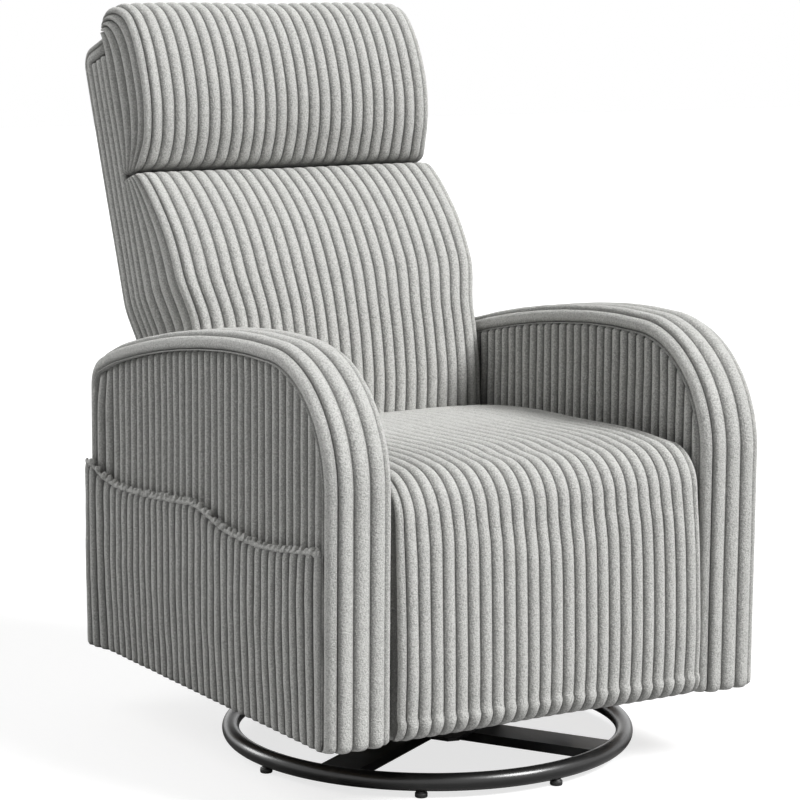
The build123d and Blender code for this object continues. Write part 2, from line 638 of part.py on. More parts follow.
def make_back():
    """The reclining back: cushions, outside panels, frame, webbing, brackets and pivots."""
    half = BACK_HALF
    rear_face = BACK_DEPTH - REAR_PAD
    frame_front = rear_face - BACK_FRAME_DEPTH
    cushion_back = frame_front - WEBBING - PANEL_FIT
    ribs = rib_line(half, SEAT_RIBS, SEAT_RIB_DEPTH, EDGE_ROUND)
    back_stations = [station(back_point(up, crest), back_point(up, cushion_back), swell)
                     for up, crest, swell in BACK_FRONT]
    add("back_cushion", ribbed_pad(back_stations, ribs))
    add("head_cushion", ribbed_pad(head_stations(cushion_back), ribs))

    # outside back panel, which folds over the top of the frame
    bend = BACK_TOP - BACK_TOP_RADIUS
    bend_r = BACK_DEPTH - BACK_TOP_RADIUS
    stations = [station(back_point(BACK_FOOT, BACK_DEPTH), back_point(BACK_FOOT, rear_face))]
    for turn in (0, 45, 90):
        way_r = math.cos(math.radians(turn))
        way_s = math.sin(math.radians(turn))
        inner = BACK_TOP_RADIUS - REAR_PAD
        outer_point = back_point(bend + BACK_TOP_RADIUS * way_s, bend_r + BACK_TOP_RADIUS * way_r)
        stations.append(station(outer_point, back_point(bend + inner * way_s, bend_r + inner * way_r)))
    front_edge = cushion_back + PANEL_FIT
    stations.append(station(back_point(BACK_TOP, front_edge),
                            back_point(BACK_TOP - REAR_PAD, front_edge)))
    rear_ribs = rib_line(half, SEAT_RIBS - 1, PANEL_RIB_DEPTH, EDGE_ROUND / 2)
    add("back_outer_panel", ribbed_pad(stations, rear_ribs))

    # side panels with three ribs along the back
    frame_top = bend - PANEL_FIT
    panel_mid = (frame_front + rear_face) / 2
    outline = [(half - SIDE_PANEL, frame_front)]
    for along, height in rib_line((rear_face - frame_front) / 2 - PANEL_FIT, 3, PANEL_RIB_DEPTH):
        outline.append((half + height, panel_mid + along))
    outline.append((half - SIDE_PANEL, rear_face - PANEL_FIT))
    foot = Wire.make_polygon([(x, *back_point(FRAME_FOOT, r)) for x, r in outline])
    up_way = back_point(1, 0)[0] - back_point(0, 0)[0], back_point(1, 0)[1] - back_point(0, 0)[1]
    add("back_side_panels", both_sides(extrude(Face(foot), frame_top - FRAME_FOOT, dir=(0, *up_way))))

    post_outer = half - SIDE_PANEL - PANEL_FIT
    post_inner = post_outer - POST_WIDTH
    depth = (frame_front, rear_face - PANEL_FIT)
    add("back_posts", both_sides(back_block((post_inner, post_outer), (FRAME_FOOT, frame_top), depth)))
    rails = [back_block((-post_inner, post_inner), (low, low + BACK_RAIL_HEIGHT), depth)
             for low in (LOW_RAIL, HEAD_SEAM - BACK_RAIL_HEIGHT / 2, frame_top - BACK_RAIL_HEIGHT)]
    add("back_rails", Compound([rail.solid() for rail in rails]))
    strap_feet = [BACK_STRAP_FOOT + BACK_STRAP_PITCH * number for number in range(BACK_STRAPS)]
    strap_feet += [HEAD_SEAM + HEAD_STRAP_RISE + HEAD_STRAP_PITCH * number
                   for number in range(HEAD_STRAPS)]
    straps = [back_block((-post_outer, post_outer), (low, low + STRAP_WIDTH),
                         (frame_front - WEBBING, frame_front)) for low in strap_feet]
    add("back_webbing", Compound([strap.solid() for strap in straps]))

    # steel bracket: a foot on the pivot and an arm up the inner face of the post
    plate_x = post_inner - SIDE_PLATE
    near = frame_front + BRACKET_INSET
    far = rear_face - BRACKET_INSET
    corners = [(-BRACKET_EAR, -BRACKET_EAR), (BRACKET_EAR, -BRACKET_EAR), (BRACKET_EAR, near),
               (BRACKET_LENGTH, near), (BRACKET_LENGTH, far), (-BRACKET_EAR, far)]
    web = side_plate_shape([back_point(*corner) for corner in corners], plate_x, SIDE_PLATE)
    web -= cross_bore(RECLINE_PIVOT_Y, RECLINE_PIVOT_Z, plate_x - 1, plate_x + SIDE_PLATE + 1,
                     SWING_PIN_RADIUS + RUNNING_GAP)
    add("back_brackets", both_sides(web))
    pin = rivet(RECLINE_PIVOT_Y, RECLINE_PIVOT_Z, PLATE_OUTER_X, plate_x, SWING_PIN_RADIUS,
                SWING_HEAD_RADIUS, PIVOT_HEAD)
    pin += cross_pin(RECLINE_PIVOT_Y, RECLINE_PIVOT_Z, plate_x + SIDE_PLATE + PANEL_FIT,
                     PLATE_INNER_X, SWING_HEAD_RADIUS)
    add("recline_pins", both_sides(pin))


# ------------------------------------------------------------------ seat frame
def make_seat_frame(first, second):
    """The seat's rails and webbing, the steel side plates and the lower rear panel."""
    rail_x = (PLATE_OUTER_X, INNER_CREST_X)
    rail_top = SEAT_RAIL_TOP_Z
    add("seat_side_rails", both_sides(block(rail_x, (RAIL_FRONT_Y, RAIL_REAR_Y), (RAIL_Z, rail_top))))
    rear = RAIL_REAR_Y - CROSS_RAIL_SETBACK
    cross = [block((-PLATE_INNER_X, PLATE_INNER_X), (y, y + CROSS_RAIL_DEPTH),
                   (rail_top - CROSS_RAIL, rail_top))
             for y in (RAIL_FRONT_Y, rear - CROSS_RAIL_DEPTH)]
    add("seat_cross_rails", Compound([rail.solid() for rail in cross]))
    pitch = (rear - CROSS_RAIL_DEPTH - STRAP_WIDTH / 2 - RAIL_FRONT_Y) / (STRAPS - 1)
    straps = [block((-INNER_CREST_X, INNER_CREST_X),
                    (RAIL_FRONT_Y + k * pitch, RAIL_FRONT_Y + k * pitch + STRAP_WIDTH),
                    (rail_top, rail_top + WEBBING)) for k in range(STRAPS)]
    add("seat_webbing", Compound([strap.solid() for strap in straps]))

    front_y = first[0] - LINK_WIDTH / 2 - PLATE_MARGIN
    low_z = RAIL_Z + PLATE_INSET
    high_z = rail_top - PLATE_INSET
    pivot = (RECLINE_PIVOT_Y, RECLINE_PIVOT_Z)
    ear = PLATE_EAR - PLATE_EAR_CHAMFER
    outline = [(front_y, low_z), (pivot[0] + PLATE_EAR - PLATE_HEEL, low_z),
               shifted((pivot[0], low_z), (PLATE_EAR, PLATE_HEEL)),
               shifted(pivot, (PLATE_EAR, ear)), shifted(pivot, (ear, PLATE_EAR)),
               shifted(pivot, (-ear, PLATE_EAR)), shifted(pivot, (-PLATE_EAR, ear)),
               (pivot[0] - PLATE_EAR - PLATE_NECK, high_z), (front_y, high_z)]
    plate = side_plate_shape(outline, PLATE_INNER_X, SIDE_PLATE)
    for y, z in (first, second):
        plate -= cross_bore(y, z, PLATE_INNER_X - 1, PLATE_OUTER_X + 1, PIVOT_PIN_RADIUS + RUNNING_GAP)
    plate -= cross_bore(*pivot, PLATE_INNER_X - 1, PLATE_OUTER_X + 1, SWING_PIN_RADIUS + RUNNING_GAP)
    rails = parts["seat_side_rails"]
    bolt_end = PLATE_OUTER_X + SIDE_BOLT_BITE
    bolts = []
    for y in SIDE_BOLT_PLACES:
        z = (RAIL_Z + rail_top) / 2
        hole = cross_bore(y, z, PLATE_INNER_X - 1, bolt_end + PANEL_FIT, BOLT_RADIUS + RUNNING_GAP)
        plate -= hole
        rails -= hole + mirror(hole, about=Plane.YZ)
        head = Pos(PLATE_INNER_X, y, z) * Rot(0, -90, 0) * hex_head()
        bolts += (cross_pin(y, z, PLATE_INNER_X, bolt_end, BOLT_RADIUS) + head).solids()
    add("seat_side_rails", rails)
    add("mechanism_side_plates", both_sides(plate))
    add("side_plate_bolts", both_sides(Compound(bolts)))

    # lower rear panel between the arms
    rear_ribs = rib_line(ARM_INNER_X, SEAT_RIBS, PANEL_RIB_DEPTH)
    face_y = ARM_REAR_Y - REAR_PANEL_INSET
    stations = [station((face_y, z), (face_y - 2 * PANEL_THICKNESS, z))
                for z in (HEM_Z, RAIL_Z + REAR_PANEL_LAP)]
    add("lower_rear_panel", ribbed_pad(stations, rear_ribs))


# ------------------------------------------------------------------ glider
def make_glider():
    """The turning plate with its rails, the swing links, and the hangers of the carriage."""
    plate_z = THRUST_TOP_Z + PLATE_GAP
    top_plate = Pos(0, SWIVEL_Y, plate_z + TOP_PLATE_THICKNESS / 2) * Box(
        TOP_PLATE, TOP_PLATE, TOP_PLATE_THICKNESS)
    top_plate = chamfer(top_plate.edges().filter_by(Axis.Z), PLATE_CORNER)
    top_plate -= Pos(0, SWIVEL_Y, 0) * bore(SWIVEL_PIN_RADIUS + RUNNING_GAP, 2 * plate_z)
    cross_z = plate_z + TOP_PLATE_THICKNESS
    rail_z = cross_z + CHANNEL
    bolt_length = TOP_PLATE_THICKNESS + CHANNEL_WALL + BOLT_STAND
    offsets = (-1, 1)
    reach = TOP_PLATE / 2 - CHANNEL
    rail_outer = GLIDER_HALF_WIDTH - SIDE_PLATE
    members = []
    bolts = []
    for side in offsets:
        y = SWIVEL_Y + side * reach
        member = block((-rail_outer, rail_outer), (y - CHANNEL / 2, y + CHANNEL / 2), (cross_z, rail_z))
        member -= block((-rail_outer, rail_outer),
                        (y - CHANNEL / 2 + CHANNEL_WALL, y + CHANNEL / 2 - CHANNEL_WALL),
                        (cross_z + CHANNEL_WALL, rail_z))
        for across in offsets:
            place = Pos(across * reach, y, 0)
            hole = place * Pos(0, 0, plate_z - 1) * bore(BOLT_RADIUS + RUNNING_GAP, bolt_length)
            member -= hole
            top_plate -= hole
            shank = place * Pos(0, 0, plate_z) * disc(BOLT_RADIUS, bolt_length)
            head = place * Pos(0, 0, plate_z - BOLT_HEAD) * hex_head()
            bolts += (shank + head).solids()
        members += member.solids()
    add("swivel_top_plate", top_plate)
    add("glider_cross_members", Compound(members))
    add("top_plate_bolts", Compound(bolts))

    length = SWING_SPACING + UPRIGHT_WIDTH + 2 * RAIL_OVERHANG
    rail = block((rail_outer - CHANNEL, rail_outer), (SWIVEL_Y - length / 2, SWIVEL_Y + length / 2),
                 (rail_z, rail_z + CHANNEL))
    rail -= block((rail_outer - CHANNEL, rail_outer - CHANNEL_WALL),
                  (SWIVEL_Y - length / 2, SWIVEL_Y + length / 2),
                  (rail_z + CHANNEL_WALL, rail_z + CHANNEL - CHANNEL_WALL))
    add("glider_side_rails", both_sides(rail))

    link_x = GLIDER_HALF_WIDTH + SWING_STEP
    hanger_x = link_x + LINK_THICKNESS + SWING_STEP
    low_z = SWING_Z - SWING_LENGTH
    running = SWING_PIN_RADIUS + RUNNING_GAP
    uprights, upper_pins, hangers, lower_pins = [], [], [], []
    for side in offsets:
        y = SWIVEL_Y + side * SWING_SPACING / 2
        half = UPRIGHT_WIDTH / 2
        tip = SWING_Z + half
        upright = side_plate_shape([(y - half, rail_z), (y + half, rail_z), (y + half, SWING_Z),
                                    (y + half / 2, tip), (y - half / 2, tip), (y - half, SWING_Z)],
                                   rail_outer, SIDE_PLATE)
        upright -= cross_bore(y, SWING_Z, rail_outer - 1, link_x, running)
        uprights += upright.solids()
        head_x = link_x + LINK_THICKNESS + SWING_HEAD_GAP
        upper = cross_pin(y, SWING_Z, rail_outer, head_x, SWING_PIN_RADIUS)
        upper += cross_pin(y, SWING_Z, head_x, head_x + SWING_HEAD, SWING_HEAD_RADIUS)
        upper_pins += upper.solids()
        hanger = block((hanger_x, hanger_x + SIDE_PLATE), (y - SWING_WIDTH / 2, y + SWING_WIDTH / 2),
                       (low_z - SWING_WIDTH / 2, RAIL_Z))
        hanger -= cross_bore(y, low_z, hanger_x - 1, hanger_x + SIDE_PLATE + 1, running)
        hangers += hanger.solids()
        lower_pins += rivet(y, low_z, hanger_x + SIDE_PLATE, link_x - SWING_HEAD_GAP,
                            SWING_PIN_RADIUS, SWING_HEAD_RADIUS, SWING_HEAD).solids()
        link = side_plate_shape(link_outline((y, low_z), (y, SWING_Z), SWING_WIDTH),
                                link_x, LINK_THICKNESS)
        for z in (SWING_Z, low_z):
            link -= cross_bore(y, z, link_x - 1, link_x + LINK_THICKNESS + 1, running)
        add("front_swing_links" if side < 0 else "rear_swing_links", both_sides(link))
    add("glider_uprights", both_sides(Compound(uprights)))
    add("upper_swing_pins", both_sides(Compound(upper_pins)))
    add("glide_hangers", both_sides(Compound(hangers)))
    add("lower_swing_pins", both_sides(Compound(lower_pins)))

    # rails that carry the hangers, and the channels that join them to the side plates
    angle_x = hanger_x + SIDE_PLATE
    angle_end = angle_x + ANGLE_WALL
    angle_top = RAIL_Z + ANGLE_WALL
    rail_length = SWING_SPACING + SWING_WIDTH + 2 * RAIL_OVERHANG
    y_range = (SWIVEL_Y - rail_length / 2, SWIVEL_Y + rail_length / 2)
    angle = block((angle_x, angle_end), y_range, (RAIL_Z - ANGLE_DROP, angle_top))
    angle += block((angle_x - CHANNEL, angle_end), y_range, (RAIL_Z, angle_top))
    add("hanger_rails", both_sides(angle))
    channels = []
    for place in CARRIAGE_CHANNEL_PLACES:
        y = SWIVEL_Y + place
        channel = block((-PLATE_INNER_X, PLATE_INNER_X), (y, y + CHANNEL),
                        (angle_top, angle_top + CHANNEL))
        channel -= block((-PLATE_INNER_X, PLATE_INNER_X),
                         (y + CHANNEL_WALL, y + CHANNEL - CHANNEL_WALL),
                         (angle_top + CHANNEL_WALL, angle_top + CHANNEL))
        channels += channel.solids()
    add("carriage_channels", Compound(channels))


# ------------------------------------------------------------------ base
BAR_TOP_Z = RING_Z + BAR_HEIGHT / 2
THRUST_Z = BAR_TOP_Z + BASE_PLATE_THICKNESS
THRUST_TOP_Z = THRUST_Z + THRUST_RING_HEIGHT


def bent_tube(radius):
    """The ring's tube, bent from short straight flats in two halves."""
    wires = []
    for step in range(RING_STEPS // 2 + 1):
        turn = 360 * step / RING_STEPS
        outline = []
        for side in range(TUBE_SIDES):
            around = 2 * math.pi * (side + 0.5) / TUBE_SIDES
            outline.append(Vector(RING_RADIUS + radius * math.cos(around), 0,
                                  RING_Z + radius * math.sin(around)).rotate(Axis.Z, turn))
        wires.append(Wire.make_polygon(outline))
    half = Solid.make_loft(wires, ruled=True)
    return half + Rot(0, 0, 180) * half


def make_base():
    """The round tube base with its cross bars, centre plate, thrust ring and swivel pin."""
    centre = Pos(0, SWIVEL_Y, 0)
    add("base_ring", centre * bent_tube(TUBE_RADIUS))
    around = centre * bent_tube(TUBE_RADIUS + PANEL_FIT)

    def channel_bar(start, end):
        """A channel along X, open below."""
        bar = block((start, end), (-BAR_WIDTH / 2, BAR_WIDTH / 2), (BAR_TOP_Z - BAR_HEIGHT, BAR_TOP_Z))
        return bar - block((start, end), (-BAR_WIDTH / 2 + BAR_WALL, BAR_WIDTH / 2 - BAR_WALL),
                           (BAR_TOP_Z - BAR_HEIGHT, BAR_TOP_Z - BAR_WALL))

    bolts = []
    long_bar = centre * Rot(0, 0, BAR_ANGLE) * channel_bar(-RING_RADIUS, RING_RADIUS) - around
    side_bar = centre * Rot(0, 0, BAR_ANGLE + 90) * channel_bar(BAR_WIDTH / 2, RING_RADIUS) - around
    other_bar = centre * Rot(0, 0, BAR_ANGLE - 90) * channel_bar(BAR_WIDTH / 2, RING_RADIUS) - around
    plate = extrude(Rectangle(BASE_PLATE, BASE_PLATE), BASE_PLATE_THICKNESS)
    plate = chamfer(plate.edges().filter_by(Axis.Z), PLATE_CORNER)
    plate = centre * Rot(0, 0, BAR_ANGLE) * Pos(0, 0, BAR_TOP_Z) * plate
    cross_bars = {"long": long_bar, "side": side_bar, "other": other_bar}
    bolt_reach = BASE_PLATE / 2 - BASE_BOLT_INSET
    for turn, owner in ((0, "long"), (180, "long"), (90, "side"), (-90, "other")):
        place = centre * Rot(0, 0, BAR_ANGLE + turn) * Pos(bolt_reach, 0, BAR_TOP_Z)
        hole = place * Pos(0, 0, -BAR_HEIGHT) * bore(BOLT_RADIUS + RUNNING_GAP, 2 * BAR_HEIGHT)
        plate -= hole
        cross_bars[owner] -= hole
        shank = place * Pos(0, 0, -BAR_WALL - BOLT_HEAD) * disc(
            BOLT_RADIUS, BASE_PLATE_THICKNESS + BAR_WALL + BOLT_HEAD)
        head = place * Pos(0, 0, -BAR_WALL - BOLT_HEAD) * hex_head()
        bolts += (shank + head).solids()
    pin_hole = centre * bore(SWIVEL_PIN_RADIUS + RUNNING_GAP, THRUST_TOP_Z)
    add("long_cross_bar", cross_bars["long"] - pin_hole)
    add("side_cross_bars", Compound([*cross_bars["side"].solids(), *cross_bars["other"].solids()]))
    add("base_plate", plate - pin_hole)
    add("base_plate_bolts", Compound(bolts))

    ring = extrude(RegularPolygon(THRUST_RING_RADIUS, 2 * PIN_SIDES)
                   - RegularPolygon(THRUST_RING_BORE, 2 * PIN_SIDES), THRUST_RING_HEIGHT)
    add("thrust_ring", centre * Pos(0, 0, THRUST_Z) * ring)
    collar_z = THRUST_TOP_Z + PLATE_GAP + TOP_PLATE_THICKNESS + PLATE_GAP
    pin_foot = BAR_TOP_Z - BAR_WALL - BOLT_HEAD
    pin = Pos(0, 0, pin_foot) * disc(SWIVEL_PIN_RADIUS, collar_z + COLLAR_HEIGHT + PIN_STAND - pin_foot)
    pin += Pos(0, 0, pin_foot) * disc(SWIVEL_PIN_HEAD, BOLT_HEAD)
    add("swivel_pin", centre * pin)
    collar = extrude(RegularPolygon(SWIVEL_COLLAR, 6), COLLAR_HEIGHT)
    collar -= bore(SWIVEL_PIN_RADIUS + RUNNING_GAP, COLLAR_HEIGHT)
    add("swivel_collar", centre * Pos(0, 0, collar_z) * collar)

    feet = []
    for bar in range(4):
        for spread in (-FOOT_SPREAD, FOOT_SPREAD):
            place = centre * Rot(0, 0, BAR_ANGLE + 90 * bar + spread) * Pos(RING_RADIUS, 0, 0)
            feet += (place * disc(GLIDE_FOOT_RADIUS, RING_Z - TUBE_RADIUS - PANEL_FIT)).solids()
    add("foot_glides", Compound(feet))


make_base()
make_glider()
make_arms()
make_seat()
FIRST_PIVOT, SECOND_PIVOT = make_rest_linkage()
make_seat_frame(FIRST_PIVOT, SECOND_PIVOT)
make_back()

# ------------------------------------------------------------------ save
whole = Compound([solid for shape in parts.values() for solid in shape.solids()]).bounding_box()
to_footprint = Pos(-(whole.min.X + whole.max.X) / 2, -(whole.min.Y + whole.max.Y) / 2, 0)
os.makedirs("parts", exist_ok=True)
for name, shape in parts.items():
    solids = [to_footprint * solid for solid in shape.solids()]
    export_step(Compound(solids) if len(solids) > 1 else solids[0], f"parts/{name}.step")
print("moved by", to_footprint.position)
print("size", whole.size)
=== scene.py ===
"""Looks of a swivel glider recliner: ribbed plush upholstery on a black round base.

Surfaces are worked out with numpy in millimetres, in the chair's own frame: X runs across, the
seat faces -Y, Z is up from the floor and Y is measured from the middle of the body. They are
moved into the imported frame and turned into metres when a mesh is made.
"""

from __future__ import annotations

import json
import logging
import math
from dataclasses import dataclass, field
from enum import Enum

import bpy
import numpy as np
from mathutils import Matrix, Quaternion, Vector

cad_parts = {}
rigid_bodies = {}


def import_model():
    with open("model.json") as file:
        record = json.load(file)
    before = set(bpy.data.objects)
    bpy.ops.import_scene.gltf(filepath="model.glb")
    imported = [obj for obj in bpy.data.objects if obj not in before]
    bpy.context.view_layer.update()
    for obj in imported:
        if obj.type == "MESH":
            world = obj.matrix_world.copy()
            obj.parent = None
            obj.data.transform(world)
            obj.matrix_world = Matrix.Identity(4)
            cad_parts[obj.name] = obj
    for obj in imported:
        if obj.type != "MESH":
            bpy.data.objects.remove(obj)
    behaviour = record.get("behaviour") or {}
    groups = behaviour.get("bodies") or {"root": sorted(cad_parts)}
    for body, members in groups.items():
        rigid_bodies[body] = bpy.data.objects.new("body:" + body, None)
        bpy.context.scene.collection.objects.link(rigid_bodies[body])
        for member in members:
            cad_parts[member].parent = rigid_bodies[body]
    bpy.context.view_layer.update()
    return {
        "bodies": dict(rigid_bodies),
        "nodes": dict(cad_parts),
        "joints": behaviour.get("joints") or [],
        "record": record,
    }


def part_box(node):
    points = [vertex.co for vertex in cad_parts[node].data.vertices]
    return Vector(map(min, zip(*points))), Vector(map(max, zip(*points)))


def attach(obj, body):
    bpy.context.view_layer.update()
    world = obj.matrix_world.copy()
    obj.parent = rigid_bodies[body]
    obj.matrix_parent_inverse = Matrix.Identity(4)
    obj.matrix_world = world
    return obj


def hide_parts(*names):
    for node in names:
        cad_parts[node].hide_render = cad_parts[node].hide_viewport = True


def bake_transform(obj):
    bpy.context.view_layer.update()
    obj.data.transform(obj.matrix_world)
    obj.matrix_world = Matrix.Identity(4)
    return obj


LOG = logging.getLogger("recliner")
MM = 0.001
FULL_TURN = 2 * math.pi
SPLINE_STEPS = 24
DEGREES_A_STEP = 2
NOISE_GAIN = 1.6
HEM_END = 0.8  # how near the cords come to their ends at a hem, where 1 is on a seam
Array = np.ndarray
Colour = tuple[float, float, float, float]


class Body(Enum):
    """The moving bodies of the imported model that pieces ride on."""

    BASE = "base"
    CARRIAGE = "carriage"
    BACK = "back"
    LEG_REST = "leg_rest"


class Slot(Enum):
    """The record's material slots."""

    CORDUROY = "corduroy"
    WEBBING = "webbing"
    FOAM = "foam"
    BOARD = "board"
    BLACK_STEEL = "black_steel"
    ZINC_STEEL = "zinc_steel"
    NYLON = "nylon"
    GLIDE = "glide_plastic"


# ------------------------------------------------------------------ curves
def even_steps(points: Array, step: float) -> Array:
    """Cuts a polyline into equal steps of arc length.

    Args:
        points: rows of points, in two or three dimensions.
        step: the wanted length of one step.

    Returns:
        Rows of points with the same two ends.
    """
    reach = np.concatenate([[0.0], np.cumsum(np.linalg.norm(np.diff(points, axis=0), axis=1))])
    count = max(2, int(round(reach[-1] / step)) + 1)
    wanted = np.linspace(0.0, reach[-1], count)
    return np.column_stack([np.interp(wanted, reach, column) for column in points.T])


def spline(knots: Array, step: float) -> Array:
    """A Catmull-Rom curve through the knots: on each span a cubic of the four nearest knots.

    Args:
        knots: rows of points to go through.
        step: the length of one step along the result.

    Returns:
        Rows of points at equal steps.
    """
    rows = np.asarray(knots, float)
    line = np.vstack([2 * rows[0] - rows[1], rows, 2 * rows[-1] - rows[-2]])
    a, b, c, d = line[:-3, None], line[1:-2, None], line[2:-1, None], line[3:, None]
    t = np.linspace(0.0, 1.0, SPLINE_STEPS, endpoint=False)[None, :, None]
    curve = 0.5 * (2 * b + (c - a) * t + (2 * a - 5 * b + 4 * c - d) * t**2
                   + (3 * b - a - 3 * c + d) * t**3)
    return even_steps(np.vstack([curve.reshape(-1, rows.shape[1]), rows[-1:]]), step)


def arc(centre: tuple[float, float], radius: float, start: float, end: float) -> Array:
    """Points on a circle, one for each two degrees, between two angles in degrees."""
    turns = np.radians(np.linspace(start, end, max(3, int(abs(end - start) / DEGREES_A_STEP) + 1)))
    return np.column_stack([centre[0] + radius * np.cos(turns), centre[1] + radius * np.sin(turns)])


def left_ways(points: Array) -> Array:
    """Unit vectors to the left of a plane line's direction, by central differences."""
    way = np.gradient(points, axis=0)
    way /= np.linalg.norm(way, axis=1, keepdims=True)
    return np.column_stack([-way[:, 1], way[:, 0]])


def smooth_step(low: float, high: float, value: Array) -> Array:
    """0 below low, 1 above high, and 3t^2 - 2t^3 between them."""
    t = np.clip((value - low) / (high - low), 0.0, 1.0)
    return t * t * (3 - 2 * t)


def fade(distance: Array, reach: float) -> Array:
    """1 up to no distance, 0 from the reach on, and straight between them."""
    return np.clip(1 - distance / reach, 0, 1)


def soft_noise(rows: int, columns: int, cells: tuple[int, int], seed: int) -> Array:
    """Smooth random heights from -1 to 1: cubic B-splines over a coarse grid of random numbers.

    Args:
        rows: rows of the result.
        columns: columns of the result.
        cells: how many bumps fit along the rows and along the columns.
        seed: the start of the random draw.

    Returns:
        A rows by columns array.
    """
    def weights(count: int, size: int) -> Array:
        place = np.linspace(0.0, size, count)
        apart = np.abs(place[:, None] - np.arange(-1, size + 2)[None, :])
        near = 2 / 3 - apart**2 + apart**3 / 2
        far = np.clip(2 - apart, 0, None) ** 3 / 6
        return np.where(apart < 1, near, far)

    coarse = np.random.default_rng(seed).uniform(-1, 1, (cells[0] + 3, cells[1] + 3))
    return NOISE_GAIN * weights(rows, cells[0]) @ coarse @ weights(columns, cells[1]).T


def resampled(rows: Array, places: Array, count: int) -> Array:
    """Rows that are known at some places, at every place below count, by straight lines between."""
    every = np.arange(count)
    columns = [np.interp(every, places, column) for column in rows.reshape(len(places), -1).T]
    return np.stack(columns, axis=1).reshape(count, *rows.shape[1:])


def in_runs(places: tuple[float, ...], counts: tuple[int, ...]) -> Array:
    """Places at equal steps in each run between two of the given ones, with so many steps a run."""
    runs = [np.linspace(start, end, count + 1)[:-1]
            for start, end, count in zip(places, places[1:], counts)]
    return np.append(np.concatenate(runs), places[-1])


def full_circle(count: int) -> Array:
    """So many angles, in radians, at equal steps round a circle."""
    return np.linspace(0, FULL_TURN, count + 1)[:-1]


# ------------------------------------------------------------------ ribs
@dataclass(frozen=True)
class RibStyle:
    """The wale of the cloth: a row of rounded cords with narrow valleys between them."""

    depth: float
    samples: tuple[float, ...] = (0.0, 0.035, 0.09, 0.17, 0.27, 0.38, 0.5, 0.62, 0.73, 0.83, 0.91, 0.965)
    roundness: float = 2.0
    fullness: float = 0.68
    seam_drop: float = 0.5

    def places(self, count: int) -> Array:
        """Places over a row of ribs, where one rib is 1 long, closest together at the valleys."""
        ribs = np.arange(count)[:, None] + np.array(self.samples)[None, :]
        return np.append(ribs.ravel(), float(count))

    def height(self, place: Array) -> Array:
        """Height over the cord: 0 on the crest and -depth in the valley, on a superellipse."""
        across = np.abs(2 * (place % 1.0) - 1)
        return -self.depth * (1 - np.clip(1 - across**self.roundness, 0, 1) ** self.fullness)

    def ended(self, place: Array, end: Array) -> Array:
        """Height over cords whose ends are domes: across and along the end share one ellipsoid.

        Args:
            place: places over the row of ribs.
            end: 0 away from the end and 1 on the seam, at each point.

        Returns:
            Heights, with the seam itself half a cord deeper than the valleys.
        """
        across = np.abs(2 * (place % 1.0) - 1)
        left = np.clip(1 - across**self.roundness - end**2, 0, 1)
        return -self.depth * (1 - left**self.fullness) - self.seam_drop * self.depth * end**3

    def crest(self, place: Array) -> Array:
        """1 on the crest and 0 in the valley, for the painted shade in the valleys."""
        return 1 + self.height(place) / self.depth


